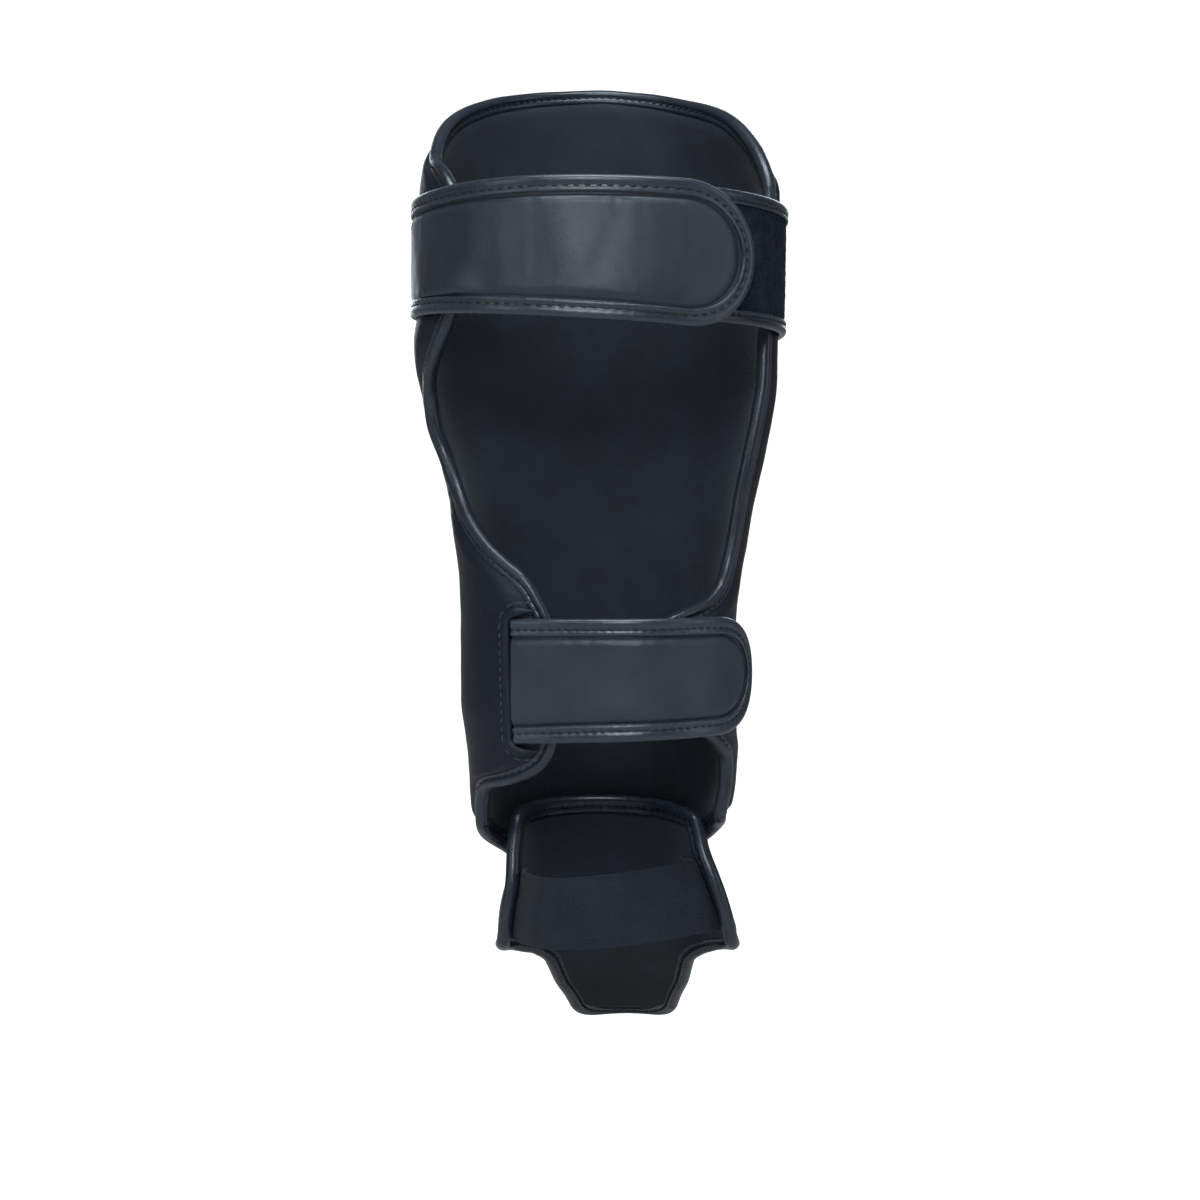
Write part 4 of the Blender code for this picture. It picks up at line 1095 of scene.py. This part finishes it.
class Look:
    """A material being built from nodes, with short calls for the nodes it uses."""

    def __init__(self, name):
        self.material = bpy.data.materials.new(name)
        self.material.use_nodes = True
        self.tree = self.material.node_tree
        self.shader = self.tree.nodes["Principled BSDF"]

    def node(self, kind, inputs=(), **settings):
        node = self.tree.nodes.new(f"ShaderNode{kind}")
        for key, value in settings.items():
            setattr(node, key, value)
        for key, value in dict(inputs).items():
            self.put(node.inputs[key], value)
        return node

    def put(self, socket, value):
        if isinstance(value, bpy.types.NodeSocket):
            self.tree.links.new(value, socket)
        else:
            socket.default_value = value

    def ramp(self, value, low, high, bottom=0.0, top=1.0):
        return self.node(
            "MapRange",
            {"Value": value, "From Min": low, "From Max": high, "To Min": bottom, "To Max": top},
        ).outputs["Result"]

    def mix(self, share, first, second):
        node = self.node("Mix", data_type="RGBA")
        self.put(node.inputs["Factor"], share)
        self.put(node.inputs[6], first)
        self.put(node.inputs[7], second)
        return node.outputs[2]

    def maths(self, operation, first, second):
        node = self.node("Math", operation=operation)
        self.put(node.inputs[0], first)
        self.put(node.inputs[1], second)
        return node.outputs[0]

    def noise(self, place, size, detail=3.0):
        inputs = {"Vector": place, "Scale": 1 / size, "Detail": detail}
        return self.node("TexNoise", inputs).outputs["Fac"]

    def cells(self, place, size):
        inputs = {"Vector": place, "Scale": 1 / size}
        return self.node("TexVoronoi", inputs, feature="DISTANCE_TO_EDGE").outputs["Distance"]

    def set(self, **inputs):
        for key, value in inputs.items():
            self.put(self.shader.inputs[key.replace("_", " ")], value)

    def bump(self, height, distance, strength, after=None):
        inputs = {"Height": height, "Distance": distance, "Strength": strength}
        if after is not None:
            inputs["Normal"] = after
        return self.node("Bump", inputs).outputs["Normal"]


def shade(color, gain):
    return (*(min(1.0, value * gain) for value in color), 1.0)


def leather(name, color, roughness, grain=0.0008, depth=0.00007, wear_and_highlight=0.5, gloss=0.5):
    """Grained leather: pebbled cells, a cloudy finish, edges lightened partly as rubbed wear and
    partly as a painted highlight, and painted shade in its crevices.
    """
    look = Look(name)
    place = look.node("TexCoord").outputs["Object"]
    cloud = look.noise(place, 0.028, 4.0)
    fine = look.noise(place, 0.0035, 3.0)
    tone = look.mix(look.ramp(cloud, 0.35, 0.65), shade(color, 0.86), shade(color, 1.14))
    edges = look.node("NewGeometry").outputs["Pointiness"]
    # Convex edges and beads are lightened: partly rubbed wear, partly a painted highlight.
    rub_and_highlight = look.maths("MULTIPLY", look.ramp(edges, 0.51, 0.58), look.ramp(fine, 0.35, 0.65, 0.2, wear_and_highlight))
    worn_and_highlit = look.mix(rub_and_highlight, tone, shade(color, 2.1))
    # Hollows, grooves and fold lines are darkened to a third: painted shade.
    look.set(Base_Color=look.mix(look.ramp(edges, 0.40, 0.48), shade(color, 0.3), worn_and_highlit))
    look.set(Roughness=look.ramp(cloud, 0.3, 0.7, roughness - 0.05, roughness + 0.06))
    look.set(Specular_IOR_Level=gloss)
    pebbles = look.ramp(look.cells(place, grain), 0.0, 0.22)
    grained = look.bump(pebbles, depth, 0.55)
    look.set(Normal=look.bump(fine, 0.00025, 0.25, grained))
    return look.material


def cloth(name, color, pitch, roughness=0.85):
    """Plain woven cloth: crossing threads on the piece's own map in metres."""
    look = Look(name)
    flat = look.node("UVMap", uv_map="metres").outputs["UV"]
    place = look.node("TexCoord").outputs["Object"]
    waves = [
        look.node("TexWave", {"Vector": flat, "Scale": 0.314 / pitch, "Distortion": 0.0},
                  bands_direction=axis).outputs["Fac"]
        for axis in ("X", "Y")
    ]
    weave = look.maths("MULTIPLY", *waves)
    cloud = look.noise(place, 0.020, 4.0)
    low = look.mix(look.ramp(cloud, 0.35, 0.65), shade(color, 0.70), shade(color, 1.30))
    look.set(Base_Color=look.mix(look.ramp(weave, 0.0, 1.0, 0.0, 0.5), low, shade(color, 1.9)))
    look.set(Roughness=roughness, Normal=look.bump(weave, 0.0002, 0.5))
    look.set(Sheen_Weight=0.10, Sheen_Roughness=0.4)
    return look.material


def pile(name, color):
    """Loop pile: a mottled nap of tiny bright loops over a dark ground."""
    look = Look(name)
    place = look.node("TexCoord").outputs["Object"]
    loops = look.noise(place, 0.0007, 3.0)
    patches = look.noise(place, 0.006, 5.0)
    spots = look.ramp(loops, 0.52, 0.70)
    tone = look.mix(look.ramp(patches, 0.35, 0.65), shade(color, 0.6), shade(color, 1.9))
    look.set(Base_Color=look.mix(spots, tone, shade(color, 5.0)))
    look.set(Roughness=0.95, Specular_IOR_Level=0.2)
    look.set(Normal=look.bump(loops, 0.0006, 0.8))
    return look.material


def thread(name, color):
    look = Look(name)
    place = look.node("TexCoord").outputs["Object"]
    twist = look.noise(place, 0.0005, 2.0)
    look.set(Base_Color=look.mix(twist, shade(color, 0.6), shade(color, 1.7)))
    look.set(Roughness=0.6, Normal=look.bump(twist, 0.0001, 0.5))
    return look.material


def studio():
    """White floor that curves up into a white wall, soft lights and the camera behind."""
    camera = bpy.data.objects.new("camera", bpy.data.cameras.new("camera"))
    camera.location = (0.0, -1.0, 0.0)
    camera.rotation_euler = (math.pi / 2, 0, 0)
    camera.data.lens, camera.data.sensor_width = 60.0, 36.0
    camera.data.clip_start = 0.01
    bpy.context.scene.collection.objects.link(camera)
    bpy.context.scene.camera = camera
    turn = np.linspace(0, math.pi / 2, 24)
    radius, back, front, half = 0.8, 1.6, -3.0, 4.0
    ys = np.concatenate([[front], back + radius * np.sin(turn), [back + radius]])
    zs = np.concatenate([[0], radius * (1 - np.cos(turn)), [3.5]]) + FLOOR_HEIGHT
    points = np.array([[[x, y, z] for x in (-half, half)] for y, z in zip(ys, zs)])
    data = bpy.data.meshes.new("backdrop")
    data.from_pydata(points.reshape(-1, 3).tolist(), [], grid_faces(len(ys), 2).tolist())
    data.shade_smooth()
    data.materials.append(studio_white())
    backdrop = bpy.data.objects.new("backdrop", data)
    bpy.context.scene.collection.objects.link(backdrop)
    for row in LAMPS:
        lamp(row)
    world = bpy.data.worlds.new("white")
    world.use_nodes = True
    tree = world.node_tree
    seen = tree.nodes.new("ShaderNodeLightPath").outputs["Is Camera Ray"]
    strength = tree.nodes.new("ShaderNodeMapRange")
    strength.inputs["To Min"].default_value = SURROUND_LIGHT
    strength.inputs["To Max"].default_value = 1.0
    tree.links.new(seen, strength.inputs["Value"])
    tree.links.new(strength.outputs["Result"], tree.nodes["Background"].inputs["Strength"])
    tree.nodes["Background"].inputs["Color"].default_value = (0.94, 0.97, 1, 1)
    bpy.context.scene.world = world
    bpy.context.scene.view_settings.view_transform = "Standard"


def studio_white():
    """The floor and wall: white to the lens, and too dim elsewhere to grey the dark leather."""
    white = Look("studio_white")
    seen = white.node("LightPath").outputs["Is Camera Ray"]
    white.set(Base_Color=(0.5, 0.5, 0.5, 1), Roughness=0.9, Emission_Color=(1, 1, 1, 1))
    white.set(Emission_Strength=white.ramp(seen, 0.0, 1.0, SURROUND_LIGHT, 1.0))
    return white.material


def lamp(row):
    light = bpy.data.lights.new(row.name, "AREA")
    light.shape = "RECTANGLE"
    light.size, light.size_y, light.energy = row.width, row.height, row.power
    light.color = LAMP_COLOR
    obj = bpy.data.objects.new(row.name, light)
    obj.location = (row.x, row.y, row.z)
    aim = Vector((0, 0, row.aim)) - obj.location
    obj.rotation_euler = aim.to_track_quat("-Z", "Y").to_euler()
    bpy.context.scene.collection.objects.link(obj)


def looks_of():
    return {
        # The shell and the straps are one leather: the shell's colour is darkened as painted shade on
        # its sides, the straps' colour lightened as painted light.
        "leather": leather("shell leather darkened as painted shade", (0.0088, 0.0112, 0.0195), 0.46, gloss=0.35),
        "strap": leather("strap leather lightened as painted light", (0.029, 0.035, 0.047), 0.38, depth=0.00005),
        "edging": leather("edging leather", (0.018, 0.022, 0.032), 0.27, 0.0006, 0.00003, 0.8, 0.6),
        # The straps' edging is a lighter copy of the edging leather: a painted highlight on its
        # beads.
        "strap_edging_painted_highlight": leather(
            "strap edging leather lightened as painted highlight", (0.028, 0.034, 0.046), 0.27, 0.0006, 0.00003, 0.9, 0.65
        ),
        "lining": cloth("lining cloth", (0.0085, 0.0112, 0.018), 0.0011),
        "elastic": cloth("elastic weave", (0.0125, 0.0155, 0.025), 0.0020, 0.8),
        "pile": pile("loop pile", (0.006, 0.008, 0.014)),
        "hooks": thread("hook tape", (0.012, 0.012, 0.014)),
        "thread": thread("thread", (0.010, 0.011, 0.014)),
        # The welt's thread is a lighter copy of the thread: a painted highlight on its stitches.
        "welt_thread_painted_highlight": thread("welt thread painted highlight", (0.045, 0.052, 0.066)),
    }


studio()
LOOKS = looks_of()
shin_shell(LOOKS)
upper_closure(LOOKS)
lower_closure(LOOKS)
instep(LOOKS)
